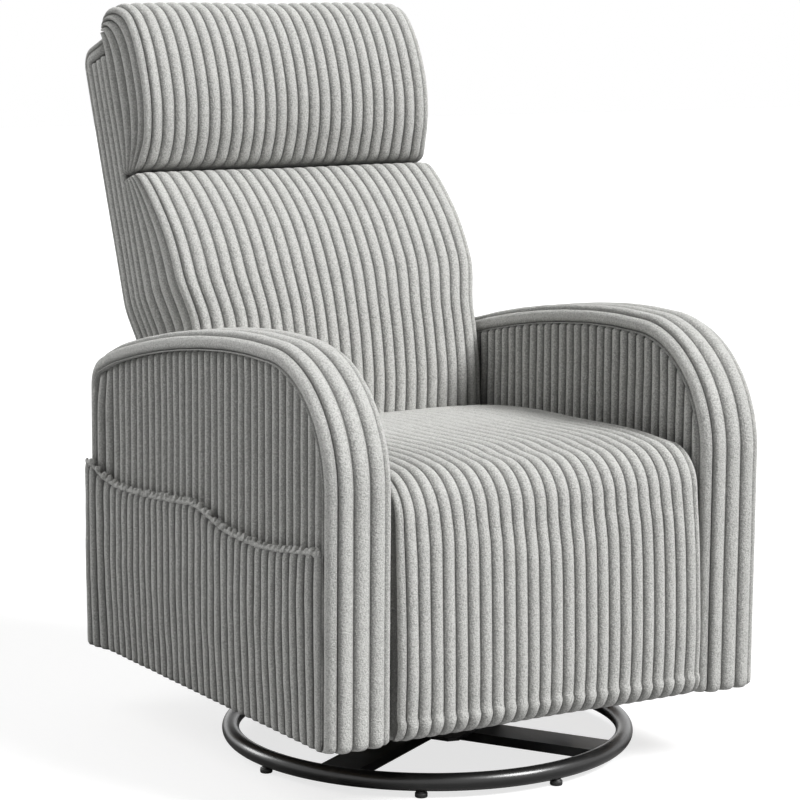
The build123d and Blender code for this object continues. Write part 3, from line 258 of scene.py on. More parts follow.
@dataclass(frozen=True)
class Section:
    """A pad's cross-section: a ribbed top with rounded corners, ribbed skirts and a plain underside.

    The top is flat between two corner arcs. Its arc length is shared out evenly among the ribs.
    Skirts go straight down from the corners, with ribs of their own.
    """

    half: float
    corner: float
    ribs: int
    style: RibStyle
    skirt_ribs: int = 0
    skirt_style: RibStyle | None = None
    under: int = 10
    unevenness: float = 0.45
    plain_dip: float = 0.3
    # Crest shares that set the painted shade of plain skirts and the underside, and how much the painted
    # valley shade is lightened towards a seam.
    plain_crest: float = 0.6
    under_crest: float = 0.5
    seam_light: float = 0.3

    def skirt(self, end: Array) -> tuple[Array, Array, Array]:
        """A skirt: shares of the way down, and at each station the height and the crest share.

        A skirt without ribs is plain and stands in a little.
        """
        if not self.skirt_ribs:
            share = np.array([0.34, 0.67, 1.0])
            plain = np.ones((len(end), len(share)))
            return share, -self.plain_dip * self.style.depth * plain, self.plain_crest * plain
        place = self.skirt_style.places(self.skirt_ribs)[1:]
        dip = self.skirt_style.ended(place[None, :], end[:, None])
        return place / self.skirt_ribs, dip, 1 + dip / self.skirt_style.depth

    def top(self) -> tuple[Array, Array, Array]:
        """The ribbed top.

        Returns:
            The base line (across, height), its outward unit vectors, and each point's rib place.
        """
        place = self.style.places(self.ribs)
        flat = 2 * (self.half - self.corner)
        bend = self.corner * math.pi / 2
        length = place / self.ribs * (flat + 2 * bend) - (flat / 2 + bend)
        beyond = np.clip(np.abs(length) - flat / 2, 0, bend)
        turn = beyond / self.corner * np.sign(length)
        across = np.clip(length, -flat / 2, flat / 2) + self.corner * np.sin(turn)
        height = -self.corner * (1 - np.cos(turn))
        return np.column_stack([across, height]), np.column_stack([np.sin(turn), np.cos(turn)]), place

    def rings(self, outer: Array, inner: Array, crown: Array, ripple: int, ends: Array | None = None,
              puff: Puff | None = None, relief: Array | None = None) -> tuple[Array, Array]:
        """Closed rings along a row of stations.

        Each ring is the section with its crest line on the outer point, its height along the way
        from the inner to the outer point, and its underside on the inner point. The crown lifts
        it by crown * (1 - |across / half|^4).

        Args:
            outer: the (Y, Z) points that the crests follow.
            inner: the (Y, Z) points that the underside follows.
            crown: the lift of the middle at each station.
            ripple: the start of the random draw for the cloth's unevenness.
            ends: how near each station is to a seam that the ribs end at, from 0 to 1.
            puff: how the plain form is blown up before the ribs are laid on it.
            relief: how strongly the ribs stand out at each station, from 0 to 1.

        Returns:
            Points (stations, ring, 3) and each one's crest share, which sets the painted valley shade; the
            painted shade is lighter towards a seam.
        """
        reach = np.linalg.norm(outer - inner, axis=1)
        way = (outer - inner) / reach[:, None]
        base, out, place = self.top()
        rows, columns = len(outer), len(base)
        wobble = soft_noise(rows, columns, (max(2, rows // 9), self.ribs), ripple)
        end = np.zeros(rows) if ends is None else ends
        dips = self.style.ended(place[None, :], end[:, None])
        dips = dips if relief is None else dips * relief[:, None]
        lift = dips + self.unevenness * wobble
        swell = crown[:, None] * (1 - np.abs(base[None, :, 0] / self.half) ** 4)
        crest = 1 + dips / self.style.depth
        floor = -np.maximum(reach, self.corner + 1.0)[:, None]
        share, dip, skirt_crest = self.skirt(end)
        skirts = len(share)
        wide = np.full((rows, skirts), self.half)
        down = -self.corner + (floor + self.corner) * share[None, :]
        under = np.linspace(1, -1, self.under)[None, 1:-1] * (self.half - 2 * self.style.depth)
        under = np.repeat(under, rows, axis=0)
        across = np.repeat(base[None, :, 0], rows, axis=0)
        x = np.hstack([across, wide, under, -wide])
        height = np.hstack([base[None, :, 1] + swell, down, floor + 0 * under, down[:, ::-1]])
        points = self.along(x, height, outer, way)
        if puff is not None:
            # The net has a column for each cord of the top, some for the skirts, and the underside.
            tops = np.arange(0, columns, len(self.style.samples))
            side = columns + np.arange(0, skirts, max(1, skirts // 4))
            rest = columns + skirts - 1 + np.arange(under.shape[1] + 2)
            far = 2 * columns + 2 * skirts + under.shape[1] - 1 - side[::-1]
            points = puff.blown(points, np.unique(np.concatenate([tops, side, rest, far])), rest)
        # The ribs are laid on afterwards, each along the plain form's outward way.
        rib_x = np.hstack([out[None, :, 0] * lift, dip, 0 * under, -dip[:, ::-1]])
        rib_h = np.hstack([out[None, :, 1] * lift, 0 * dip, 0 * under, 0 * dip])
        crests = np.hstack([crest, skirt_crest, np.full_like(under, self.under_crest), skirt_crest[:, ::-1]])
        # The painted valley shade is lightened towards a seam.
        crests = np.clip(crests, 0, 1) + self.seam_light * end[:, None] ** 2
        return points + self.along(rib_x, rib_h, 0 * outer, way), np.clip(crests, 0, 1)

    @staticmethod
    def along(x: Array, height: Array, outer: Array, way: Array) -> Array:
        """Points with x across and a height along each station's way from its outer point."""
        return np.stack([x, outer[:, None, 0] + height * way[:, None, 0],
                         outer[:, None, 1] + height * way[:, None, 1]], axis=-1)


# ------------------------------------------------------------------ blowing up the pads
@dataclass(frozen=True)
class Puff:
    """Blows a pad up as sewn cloth over wadding, by a cloth simulation on a coarse net of the form.

    The net starts smaller than the pad. Its underside and its end seams are held, the rest swells
    under pressure, and no point moves further than the reach. The seams of the cords hold them
    from going sideways, so only a share of those moves is kept.
    """

    reach: float
    pressure: float = 4.0
    shrink: float = 5.0
    frames: int = 20
    row_step: int = 3
    tension: float = 26.0
    bending: float = 2.0
    near_end_grip: float = 0.35
    calming: int = 8
    sideways: float = 0.35

    def blown(self, points: Array, columns: Array, held: Array) -> Array:
        """The whole form moved as the coarse net moved, by straight lines between its points.

        Args:
            points: (stations, ring, 3) in millimetres, without ribs.
            columns: the net's columns of the ring, in order.
            held: the columns that stay where they are.

        Returns:
            The moved points, of the same shape.
        """
        rows = np.unique(np.append(np.arange(0, len(points), self.row_step), len(points) - 1))
        net = points[np.ix_(rows, columns)]
        free = ~np.isin(columns, held)
        away = net - net[:, ~free].mean(axis=1, keepdims=True)
        start = net.copy()
        size = np.linalg.norm(away, axis=2, keepdims=True)
        start[:, free] -= (self.shrink * away / np.maximum(size, 1.0))[:, free]
        pinned = np.zeros(net.shape[:2])
        pinned[:, ~free] = 1.0
        pinned[[0, -1]] = 1.0
        pinned[[1, -2]] = np.maximum(pinned[[1, -2]], self.near_end_grip)
        moved = self.simulated(start, pinned)
        shift = self.calmed(moved - net)
        shift[..., 0] *= self.sideways
        length = np.linalg.norm(shift, axis=2, keepdims=True)
        shift *= np.minimum(1.0, self.reach / np.maximum(length, 1e-6))
        tall = resampled(shift, rows, len(points)).swapaxes(0, 1)
        return points + resampled(tall, columns, points.shape[1]).swapaxes(0, 1)

    def calmed(self, shift: Array) -> Array:
        """The moves without their creases: quarter, half, quarter sums along and across, repeated."""
        for _ in range(self.calming):
            shift[1:-1] = 0.25 * shift[:-2] + 0.5 * shift[1:-1] + 0.25 * shift[2:]
            shift[:, 1:-1] = 0.25 * shift[:, :-2] + 0.5 * shift[:, 1:-1] + 0.25 * shift[:, 2:]
        return shift

    def simulated(self, start: Array, pinned: Array) -> Array:
        """Runs the cloth simulation on the net and reads its last frame."""
        mesh = Skin.tube(start).mesh("net", start.reshape(-1, 3) * MM)
        net = linked("net", mesh)
        group = net.vertex_groups.new(name="sewn")
        for number, weight in enumerate(pinned.ravel().tolist()):
            group.add([number], weight, "REPLACE")
        cloth = net.modifiers.new("cloth", "CLOTH")
        for name, value in (("vertex_group_mass", "sewn"), ("use_pressure", True),
                            ("uniform_pressure_force", self.pressure), ("tension_stiffness", self.tension),
                            ("compression_stiffness", self.tension), ("bending_stiffness", self.bending)):
            setattr(cloth.settings, name, value)
        cloth.settings.effector_weights.gravity = 0.0
        cloth.point_cache.frame_start = 1
        cloth.point_cache.frame_end = self.frames
        for frame in range(1, self.frames + 1):
            bpy.context.scene.frame_set(frame)
        result = net.evaluated_get(bpy.context.evaluated_depsgraph_get())
        flat = np.empty(start.size, np.float32)
        result.data.vertices.foreach_get("co", flat)
        bpy.context.scene.frame_set(1)
        bpy.data.objects.remove(net)
        bpy.data.meshes.remove(mesh)
        moved = flat.reshape(start.shape).astype(float) / MM
        LOG.info("cloth net of %d points, furthest move %.1f mm", start.size // 3,
                 float(np.linalg.norm(moved - start, axis=2).max()))
        return moved


# ------------------------------------------------------------------ meshes
def linked(name: str, data: bpy.types.ID) -> bpy.types.Object:
    """A new object of the scene with that mesh, camera or light."""
    made = bpy.data.objects.new(name, data)
    bpy.context.scene.collection.objects.link(made)
    return made


@dataclass
class Skin:
    """A closed mesh in the making: points in millimetres, faces and a crest share per point, which sets the
    cloth's painted valley shade.
    """

    points: Array
    quads: Array
    caps: list[Array] = field(default_factory=list)
    crest: Array | None = None

    @staticmethod
    def tube(rings: Array, crest: Array | None = None, looped: bool = False) -> Skin:
        """A skin over rings of points.

        Args:
            rings: (stations, ring, 3), each ring closed on itself.
            crest: a crest share per point.
            looped: whether the last ring joins the first; one face closes each end if not.

        Returns:
            The skin, which still has to be checked for its direction.
        """
        rows, columns = rings.shape[:2]
        index = np.arange(rows * columns).reshape(rows, columns)
        if looped:
            index = np.vstack([index, index[:1]])
        across = np.roll(index, -1, axis=1)
        quads = np.stack([index[:-1], across[:-1], across[1:], index[1:]], axis=-1).reshape(-1, 4)
        caps = [] if looped else [index[0, ::-1], index[-1]]
        share = None if crest is None else crest.ravel()
        return Skin(rings.reshape(-1, 3), quads, caps, share)

    @staticmethod
    def slab(front: Array, back_x: float, crest: Array) -> Skin:
        """A sheet with a shaped front grid (rows, columns, 3), a rim and a flat back across X."""
        rows, columns = front.shape[:2]
        index = np.arange(rows * columns).reshape(rows, columns)
        quads = np.stack([index[:-1, :-1], index[:-1, 1:], index[1:, 1:], index[1:, :-1]], axis=-1)
        rim = np.concatenate([index[0, :-1], index[:-1, -1], index[-1, :0:-1], index[:0:-1, 0]])
        points = front.reshape(-1, 3)
        back = points[rim].copy()
        back[:, 0] = back_x
        outer = np.arange(len(points), len(points) + len(rim))
        sides = np.stack([np.roll(rim, -1), rim, outer, np.roll(outer, -1)], axis=-1)
        # The rim and the back get a crest share of 0.4: a little painted shade.
        share = np.concatenate([crest.ravel(), np.full(len(rim), 0.4)])
        return Skin(np.vstack([points, back]), np.vstack([quads.reshape(-1, 4), sides]), [outer[::-1]], share)

    def volume(self) -> float:
        """Six times the signed volume, by fans from each face's first corner."""
        corners = [self.quads[:, [0, 1, 2]], self.quads[:, [0, 2, 3]]]
        for cap in self.caps:
            corners.append(np.column_stack([np.full(len(cap) - 2, cap[0]), cap[1:-1], cap[2:]]))
        a, b, c = (self.points[np.vstack(corners)[:, k]] for k in range(3))
        return float(np.einsum("ij,ij->i", a, np.cross(b, c)).sum())

    def mesh(self, name: str, points: Array) -> bpy.types.Mesh:
        """A smooth mesh with these points, in metres, and the skin's faces turned outwards."""
        turn = -1 if self.volume() < 0 else 1
        quads, caps = self.quads[:, ::turn], [cap[::turn] for cap in self.caps]
        corners = np.concatenate([quads.ravel(), *caps]).astype(np.int32)
        sizes = np.concatenate([np.full(len(quads), 4), [len(cap) for cap in caps]]).astype(np.int32)
        starts = np.concatenate([[0], np.cumsum(sizes)[:-1]]).astype(np.int32)
        mesh = bpy.data.meshes.new(name)
        mesh.vertices.add(len(points))
        mesh.vertices.foreach_set("co", points.astype(np.float32).ravel())
        mesh.loops.add(len(corners))
        mesh.loops.foreach_set("vertex_index", corners)
        mesh.polygons.add(len(sizes))
        mesh.polygons.foreach_set("loop_start", starts)
        mesh.polygons.foreach_set("use_smooth", np.full(len(sizes), True))
        if self.crest is not None:
            layer = mesh.attributes.new("crest", "FLOAT", "POINT")
            layer.data.foreach_set("value", self.crest.astype(np.float32))
        mesh.update(calc_edges=True)
        mesh.validate()
        return mesh

    def mirrored(self) -> Skin:
        """The same skin on the other side of the chair, with its faces turned back outwards."""
        points = self.points * np.array([-1.0, 1.0, 1.0])
        return Skin(points, self.quads[:, ::-1], [cap[::-1] for cap in self.caps], self.crest)

    @staticmethod
    def joined(skins: list[Skin]) -> Skin:
        """Several skins as one mesh of separate shells."""
        starts = np.cumsum([0] + [len(s.points) for s in skins[:-1]])
        shares = [np.full(len(s.points), 0.8) if s.crest is None else s.crest for s in skins]
        return Skin(np.vstack([s.points for s in skins]),
                    np.vstack([s.quads + k for s, k in zip(skins, starts)]),
                    [cap + k for s, k in zip(skins, starts) for cap in s.caps],
                    np.concatenate(shares))


@dataclass(frozen=True)
class Workshop:
    """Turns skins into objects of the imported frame."""

    shift_y: float

    @staticmethod
    def from_frame(swivel_y: float) -> Workshop:
        """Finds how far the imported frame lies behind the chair's own, from the base ring."""
        low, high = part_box("base_ring")
        return Workshop((low.y + high.y) / 2 / MM - swivel_y)

    def place(self, points: Array) -> Array:
        """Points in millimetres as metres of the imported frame."""
        return (np.asarray(points, float) + np.array([0.0, self.shift_y, 0.0])) * MM

    def cover(self, name: str, skin: Skin, nodes: tuple[str, ...], dressing: Dressing,
              body: Body | None) -> bpy.types.Object:
        """Makes a piece in place of the frame's nodes.

        Args:
            name: the piece's name.
            skin: what it is made of.
            nodes: the nodes that it stands for.
            dressing: its finish.
            body: what it rides on, or nothing for a piece that is left unattached.

        Returns:
            The object, linked to the scene.
        """
        piece = linked(name, skin.mesh(name, self.place(skin.points)))
        dressing.put_on(piece)
        if body is not None:
            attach(piece, body.value)
        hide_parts(*nodes)
        LOG.info("%s: %d faces", name, len(piece.data.polygons))
        return piece


@dataclass(frozen=True)
class Dressing:
    """A finish and the record's slot that it stands for."""

    material: bpy.types.Material
    slot: Slot

    def put_on(self, piece: bpy.types.Object) -> None:
        """Gives a piece the material."""
        piece.data.materials.append(self.material)


# ------------------------------------------------------------------ shader writing
class Signal:
    """A shader socket that takes part in Python arithmetic."""

    def __init__(self, tree: Tree, socket: bpy.types.NodeSocket) -> None:
        """Keeps the socket and the tree it belongs to."""
        self.tree = tree
        self.socket = socket

    def _math(self, operation: str, *values: float | Signal) -> Signal:
        """A Math node's result."""
        return self.tree.signal("ShaderNodeMath", {"operation": operation}, dict(enumerate(values)))

    def __add__(self, other: float | Signal) -> Signal:
        """self + other."""
        return self._math("ADD", self, other)

    __radd__ = __add__

    def __sub__(self, other: float | Signal) -> Signal:
        """self - other."""
        return self._math("SUBTRACT", self, other)

    def __rsub__(self, other: float | Signal) -> Signal:
        """other - self."""
        return self._math("SUBTRACT", other, self)

    def __mul__(self, other: float | Signal) -> Signal:
        """self * other."""
        return self._math("MULTIPLY", self, other)

    __rmul__ = __mul__

    def sine(self) -> Signal:
        """The sine of the signal."""
        return self._math("SINE", self)

    def larger(self, other: float | Signal) -> Signal:
        """The larger of self and other."""
        return self._math("MAXIMUM", self, other)

    def between(self, low: float, high: float) -> Signal:
        """0 below low and 1 above high, smooth between them."""
        return self.tree.signal("ShaderNodeMapRange", {"interpolation_type": "SMOOTHSTEP"},
                                {"Value": self, "From Min": low, "From Max": high}, "Result")


class Tree:
    """The node tree of a material or of the world, emptied and written anew."""

    def __init__(self, owner: bpy.types.Material | bpy.types.World) -> None:
        """Empties the owner's tree."""
        owner.use_nodes = True
        self.tree = owner.node_tree
        self.tree.nodes.clear()

    def node(self, kind: str, settings: dict | None = None, inputs: dict | None = None) -> bpy.types.Node:
        """Adds one node.

        Args:
            kind: the node's type.
            settings: properties, set first.
            inputs: a value or a signal for each input, by name or number.

        Returns:
            The node.
        """
        made = self.tree.nodes.new(kind)
        for name, value in (settings or {}).items():
            setattr(made, name, value)
        for name, value in (inputs or {}).items():
            socket = made.inputs[name]
            if isinstance(value, Signal):
                self.tree.links.new(value.socket, socket)
            else:
                socket.default_value = value
        return made

    def signal(self, kind: str, settings: dict | None = None, inputs: dict | None = None,
               output: str | int = 0) -> Signal:
        """Adds one node and gives the signal of one of its outputs."""
        return Signal(self, self.node(kind, settings, inputs).outputs[output])


class Shader(Tree):
    """A material's node tree with one Principled shader."""

    def __init__(self, name: str) -> None:
        """Makes an empty material of that name."""
        self.material = bpy.data.materials.new(name)
        super().__init__(self.material)
        self.place = self.signal("ShaderNodeTexCoord", output="Object")

    def scaled(self, stretch: tuple[float, float, float]) -> Signal:
        """The object's coordinates, stretched."""
        return self.signal("ShaderNodeMapping", None, {"Vector": self.place, "Scale": stretch})

    def noise(self, scale: float, detail: float = 3.0, rough: float = 0.55,
              at: Signal | None = None) -> Signal:
        """Smooth noise about 0.5, with so many cells in a metre."""
        return self.signal("ShaderNodeTexNoise", None, {"Vector": at or self.place, "Scale": scale,
                                                        "Detail": detail, "Roughness": rough})

    def cells(self, scale: float) -> Signal:
        """Distance to the nearest of a scatter of points."""
        return self.signal("ShaderNodeTexVoronoi", None, {"Vector": self.place, "Scale": scale})

    def attribute(self, name: str) -> Signal:
        """A number kept on the mesh."""
        return self.signal("ShaderNodeAttribute", {"attribute_name": name}, output="Fac")

    def blend(self, first: tuple | Signal, second: tuple | Signal, share: Signal) -> Signal:
        """A colour between two, by a share from 0 to 1."""
        return self.signal("ShaderNodeMix", {"data_type": "RGBA"}, {0: share, 6: first, 7: second}, 2)

    def bump(self, height: Signal, strength: float, distance: float, under: Signal | None = None) -> Signal:
        """A normal that leans with a height in units of distance."""
        inputs = {"Height": height, "Strength": strength, "Distance": distance}
        if under is not None:
            inputs["Normal"] = under
        return self.signal("ShaderNodeBump", None, inputs)

    def finish(self, inputs: dict) -> bpy.types.Material:
        """Ends the material with a Principled shader that has these inputs."""
        shader = self.signal("ShaderNodeBsdfPrincipled", None, inputs)
        self.node("ShaderNodeOutputMaterial", None, {"Surface": shader})
        return self.material


def grey(level: float, warmth: float = 0.0) -> Colour:
    """A grey, a little warmer or cooler."""
    return (level * (1 + warmth), level, level * (1 - warmth), 1.0)


# ------------------------------------------------------------------ finishes
@dataclass(frozen=True)
class Finish:
    """A finish with a name, whose look says what feeds a Principled shader."""

    name: str

    def look(self, s: Shader) -> dict:
        """The Principled shader's inputs."""
        raise NotImplementedError

    def material(self) -> bpy.types.Material:
        """The finish as a material."""
        s = Shader(self.name)
        return s.finish(self.look(s))


@dataclass(frozen=True)
class PlushCord(Finish):
    """Thick-wale plush: short upright pile, brushed unevenly, with a painted highlight along the crests and
    painted shade in the rib valleys.
    """

    name: str = "plush_cord"
    crest_level: float = 0.50
    painted_valley_shade_level: float = 0.06
    blue: float = 0.965
    brushed_scale: float = 46.0
    clump_scale: float = 260.0
    fibre_scale: float = 430.0
    flat_pile: float = 0.72
    raised_pile: float = 1.26
    painted_crest_highlight: float = 0.22

    def shade(self, level: float) -> Colour:
        """The cloth's grey at a level: a trace short of blue."""
        return (level, level, level * self.blue, 1.0)

    def look(self, s: Shader) -> dict:
        """The Principled shader's inputs. They read the mesh's crest share, which paints shade into the rib
        valleys and a highlight on the crests.
        """
        crest = s.attribute("crest")
        brushed = s.noise(self.brushed_scale, 2.0)
        clumps = s.noise(self.clump_scale, 3.0, 0.6)
        fibres = s.noise(self.fibre_scale, 2.0, 0.8)
        lie = brushed * 0.34 + clumps * 0.66
        # Painted highlight on the crests and painted shade towards the valleys, from the crest share.
        crest_highlight_tone = (crest.between(0.55, 1.0) - 0.55) * self.painted_crest_highlight
        tone = (lie - 0.5) * 0.5 + 0.5 + (fibres - 0.5) * 1.3 + crest_highlight_tone
        low, high = (self.shade(self.crest_level * share) for share in (self.flat_pile, self.raised_pile))
        plain = s.blend(low, high, tone.between(0.26, 0.74))
        # Painted shade: the colour goes to the dark valley grey where the crest share is low.
        colour = s.blend(self.shade(self.painted_valley_shade_level), plain, crest.between(-0.42, 0.6))
        pile = s.bump(fibres, 0.8, 0.0026)
        normal = s.bump(clumps, 0.6, 0.0025, pile)
        return {"Base Color": colour, "Roughness": 0.93 - (lie - 0.5) * 0.25, "Normal": normal,
                "Sheen Weight": 0.08, "Sheen Roughness": 0.45,
                "Sheen Tint": grey(0.9, 0.01), "Specular IOR Level": 0.22}


@dataclass(frozen=True)
class BlackSteel(Finish):
    """Satin black enamel on bent steel, with a fine orange peel and a little dust."""

    name: str = "black_enamel"
    level: float = 0.012
    roughness: float = 0.3

    def look(self, s: Shader) -> dict:
        """The Principled shader's inputs."""
        peel = s.noise(420.0, 2.0)
        dust = s.noise(28.0, 4.0, 0.65).between(0.52, 0.82)
        colour = s.blend(grey(self.level), grey(self.level * 3.2, 0.03), dust * 0.5)
        rough = self.roughness + dust * 0.16 + (peel - 0.5) * 0.08
        return {"Base Color": colour, "Roughness": rough, "Normal": s.bump(peel, 0.12, 0.0006),
                "Coat Weight": 0.25, "Coat Roughness": 0.2}


@dataclass(frozen=True)
class ZincSteel(Finish):
    """Zinc-plated pressed steel with rolling marks and faint spangle."""

    name: str = "zinc_plate"

    def look(self, s: Shader) -> dict:
        """The Principled shader's inputs."""
        rolled = s.noise(120.0, 3.0, 0.6, s.scaled((1.0, 0.06, 1.0)))
        spangle = s.cells(160.0)
        colour = s.blend(grey(0.42, -0.02), grey(0.62, -0.01), rolled.between(0.3, 0.7))
        rough = 0.34 + spangle * 0.12 + (rolled - 0.5) * 0.2
        return {"Base Color": colour, "Metallic": 1.0, "Roughness": rough,
                "Normal": s.bump(rolled, 0.1, 0.0004)}


@dataclass(frozen=True)
class Plastic(Finish):
    """Moulded plastic with a fine matt grain."""

    name: str
    level: float
    warmth: float = 0.0

    def look(self, s: Shader) -> dict:
        """The Principled shader's inputs."""
        grain = s.noise(700.0, 2.0)
        flow = s.noise(30.0, 3.0)
        colour = s.blend(grey(self.level * 0.85, self.warmth), grey(self.level * 1.2, self.warmth),
                         flow.between(0.3, 0.7))
        return {"Base Color": colour, "Roughness": 0.5 + (grain - 0.5) * 0.2,
                "Normal": s.bump(grain, 0.15, 0.0004)}


@dataclass(frozen=True)
class Board(Finish):
    """Plywood and sawn pine of the hidden frame, with grain along its length."""

    name: str = "frame_board"

    def look(self, s: Shader) -> dict:
        """The Principled shader's inputs."""
        grain = s.noise(90.0, 5.0, 0.6, s.scaled((1.0, 0.08, 1.0)))
        rings = (s.noise(7.0, 2.0, 0.5, s.scaled((1.0, 0.1, 1.0))) * 90.0).sine() * 0.5 + 0.5
        tone = grain * 0.65 + rings * 0.35
        colour = s.blend((0.30, 0.185, 0.085, 1), (0.56, 0.40, 0.23, 1), tone.between(0.25, 0.8))
        return {"Base Color": colour, "Roughness": 0.62 + (grain - 0.5) * 0.3,
                "Normal": s.bump(grain, 0.25, 0.0006)}


@dataclass(frozen=True)
class Webbing(Finish):
    """Woven elastic straps and dust cloth, near black."""

    name: str = "woven_strap"
    pitch: float = 0.0022

    def look(self, s: Shader) -> dict:
        """The Principled shader's inputs."""
        node = s.node("ShaderNodeSeparateXYZ", None, {"Vector": s.place})
        warp, weft = ((Signal(s, node.outputs[axis]) * (FULL_TURN / self.pitch)).sine() for axis in "XY")
        weave = warp * weft * 0.5 + 0.5
        fuzz = s.noise(500.0, 2.0)
        colour = s.blend(grey(0.02), grey(0.075, 0.02), (weave * 0.6 + fuzz * 0.4).between(0.2, 0.8))
        return {"Base Color": colour, "Roughness": 0.8 + (fuzz - 0.5) * 0.2,
                "Normal": s.bump(weave, 0.4, 0.0006)}


# ------------------------------------------------------------------ arms
@dataclass(frozen=True)
class Arms:
    """Both arms: a crowned band of five cords round the outline, ribbed side panels and pockets.

    Everything is worked out for the arm at +X and mirrored for the other. The pocket's mouth is
    given by points of a place, from -1 at the front to 1 at the rear, and a height. The knots
    are given by a radius and a drop below the mouth.
    """

    outer_x: float = 361.0
    width: float = 103.0
    hem: float = 107.0
    hem_round: float = 9.0
    hem_stations: float = 2.5
    tuck: tuple[float, float] = (1.4, 2.2)
    tuck_rise: float = 1.5
    front: float = -343.0
    rear: float = 387.0
    top: float = 625.0
    front_radius: float = 170.0
    rear_drop: float = 89.0
    rear_radius: float = 45.0
    band_depth: float = 24.0
    band_ribs: int = 5
    band_rib_depth: float = 8.5
    band_corner: float = 22.0
    band_crown: float = 4.0
    band_step: float = 7.0
    hem_zone: float = 30.0
    crown_rise: float = 14.0
    rise_run: tuple[float, float] = (-70.0, 300.0)
    rise_heights: tuple[float, float] = (410.0, 560.0)
    rear_fall_from: float = 300.0
    rear_fall: float = 0.45
    seam: float = 1.5
    panel_pitch: float = 19.5
    panel_rib_depth: float = 8.2
    panel_thickness: float = 11.5
    panel_inset: float = 9.5
    panel_end: float = 9.0
    panel_places: tuple[float, ...] = (0.0, 0.05, 0.86, 1.0)
    panel_steps: tuple[int, ...] = (4, 43, 13)
    seam_margin: float = 2.5
    crown_slope: float = 0.8
    hem_slope: float = 0.9
    hem_margin: float = 1.5
    gather_lift: float = 0.8
    gather_reach: float = 26.0
    gather_from: float = 120.0
    sway: float = 1.1
    roughness: float = 0.45
    valley_shade: float = 1.4
    deepest_shade: float = -0.2
    rear_wrap: float = 9.5
    wrap_run: tuple[float, float] = (-80.0, -24.0)
    wrap_heights: tuple[float, float] = (470.0, 545.0)
    wrap_seam: float = 60.0
    edge_round: float = 12.0
    edge_drop: float = 7.0
    rear_inset: float = 7.0
    pocket_gap: float = 5.5
    pocket_cloth: float = 5.5
    pocket_rib_depth: float = 5.3
    pocket_bulge: float = 6.0
    pocket_slack: tuple[float, float] = (70.0, 160.0)
    pocket_hem: float = 6.0
    pocket_margin: float = 2.0
    pocket_places: tuple[float, ...] = (0.0, 0.07, 1.0)
    pocket_steps: tuple[int, ...] = (5, 39)
    pocket_sway: tuple[float, float] = (1.0, 1.4)
    pocket_gather: float = 22.0
    gather_end: float = 0.5
    gather_shade: float = 0.25
    pocket_roughness: float = 0.6
    roll_radii: tuple[float, float] = (2.4, 3.6)
    roll_out: float = 3.0
    roll_drop: float = 4.5
    big_knot: tuple[float, float] = (5.9, 1.8)
    small_knot: tuple[float, float] = (4.2, 7.4)
    knot_pitch: float = 0.74
    knot_in: float = 1.4
    knot_lag: float = 0.42
    knot_sizes: tuple[float, float] = (0.85, 1.12)
    knot_stray: tuple[float, float, float] = (0.12, 1.4, 0.6)
    knot_margin: float = 9.0
    mouth: tuple[tuple[float, float], ...] = (
        (-1.0, 381), (-0.83, 372), (-0.55, 361), (-0.25, 364), (-0.1, 376), (0.03, 385),
        (0.17, 381), (0.45, 373), (0.7, 370), (0.84, 376), (0.93, 394), (1.0, 397))

    @property
    def arc_y(self) -> float:
        """Where the front arc ends and the crown starts."""
        return self.front + self.front_radius

    @property
    def arc_z(self) -> float:
        """The height of the front arc's middle."""
        return self.top - self.front_radius

    @property
    def crown_radius(self) -> float:
        """The radius of the long arc over the top."""
        run = self.rear - self.arc_y
        return (run**2 + self.rear_drop**2) / (2 * self.rear_drop)

    def corner(self) -> tuple[float, float, float]:
        """The rear corner's middle and the turn, from upright, where it meets the crown."""
        middle_y = self.rear - self.rear_radius
        turn = math.asin((middle_y - self.arc_y) / (self.crown_radius - self.rear_radius))
        drop = (self.crown_radius - self.rear_radius) * math.cos(turn)
        return middle_y, self.top - self.crown_radius + drop, turn

    def outline(self, step: float) -> tuple[Array, Array]:
        """The band's crest line from the front hem over the top to the rear hem.

        A line up the front, an arc, a long arc over the top, a corner arc and a line down. Both
        hems are tucked in underneath, by shares of their radius.

        Returns:
            Points (Y, Z) at equal steps, and outward unit vectors.
        """
        corner_y, corner_z, turn = self.corner()
        hem_z = self.hem + self.hem_round
        crown_end = 90 - math.degrees(turn)
        start, end = (share * self.hem_round for share in self.tuck)
        line = np.vstack([
            [[self.front + end, self.hem + self.tuck_rise], [self.front + start, self.hem]],
            arc((self.front + self.hem_round, hem_z), self.hem_round, 270, 180),
            arc((self.arc_y, self.arc_z), self.front_radius, 180, 90),
            arc((self.arc_y, self.top - self.crown_radius), self.crown_radius, 90, crown_end)[1:],
            arc((corner_y, corner_z), self.rear_radius, crown_end, 0)[1:],
            arc((self.rear - self.hem_round, hem_z), self.hem_round, 360, 270),
            [[self.rear - start, self.hem], [self.rear - end, self.hem + self.tuck_rise]],
        ])
        points = even_steps(line, step)
        return points, left_ways(points)

    def inside(self, y: Array, z: Array) -> Array:
        """How far a point lies inside the outline, measured at right angles to it."""
        corner_y, corner_z, _ = self.corner()
        depth = np.minimum(y - self.front, self.rear - y)
        nose = self.front_radius - np.hypot(y - self.arc_y, z - self.arc_z)
        crown = self.crown_radius - np.hypot(y - self.arc_y, z - self.top + self.crown_radius)
        rear = self.rear_radius - np.hypot(y - corner_y, z - corner_z)
        depth = np.where((y < self.arc_y) & (z > self.arc_z), np.minimum(depth, nose), depth)
        depth = np.where((y > corner_y) & (z > corner_z), np.minimum(depth, rear), depth)
        return np.where(y >= self.arc_y, np.minimum(depth, crown), depth)

    def top_at(self, y: Array, inset: float) -> Array:
        """The outline's height over y, moved in by inset."""
        corner_y, corner_z, _ = self.corner()

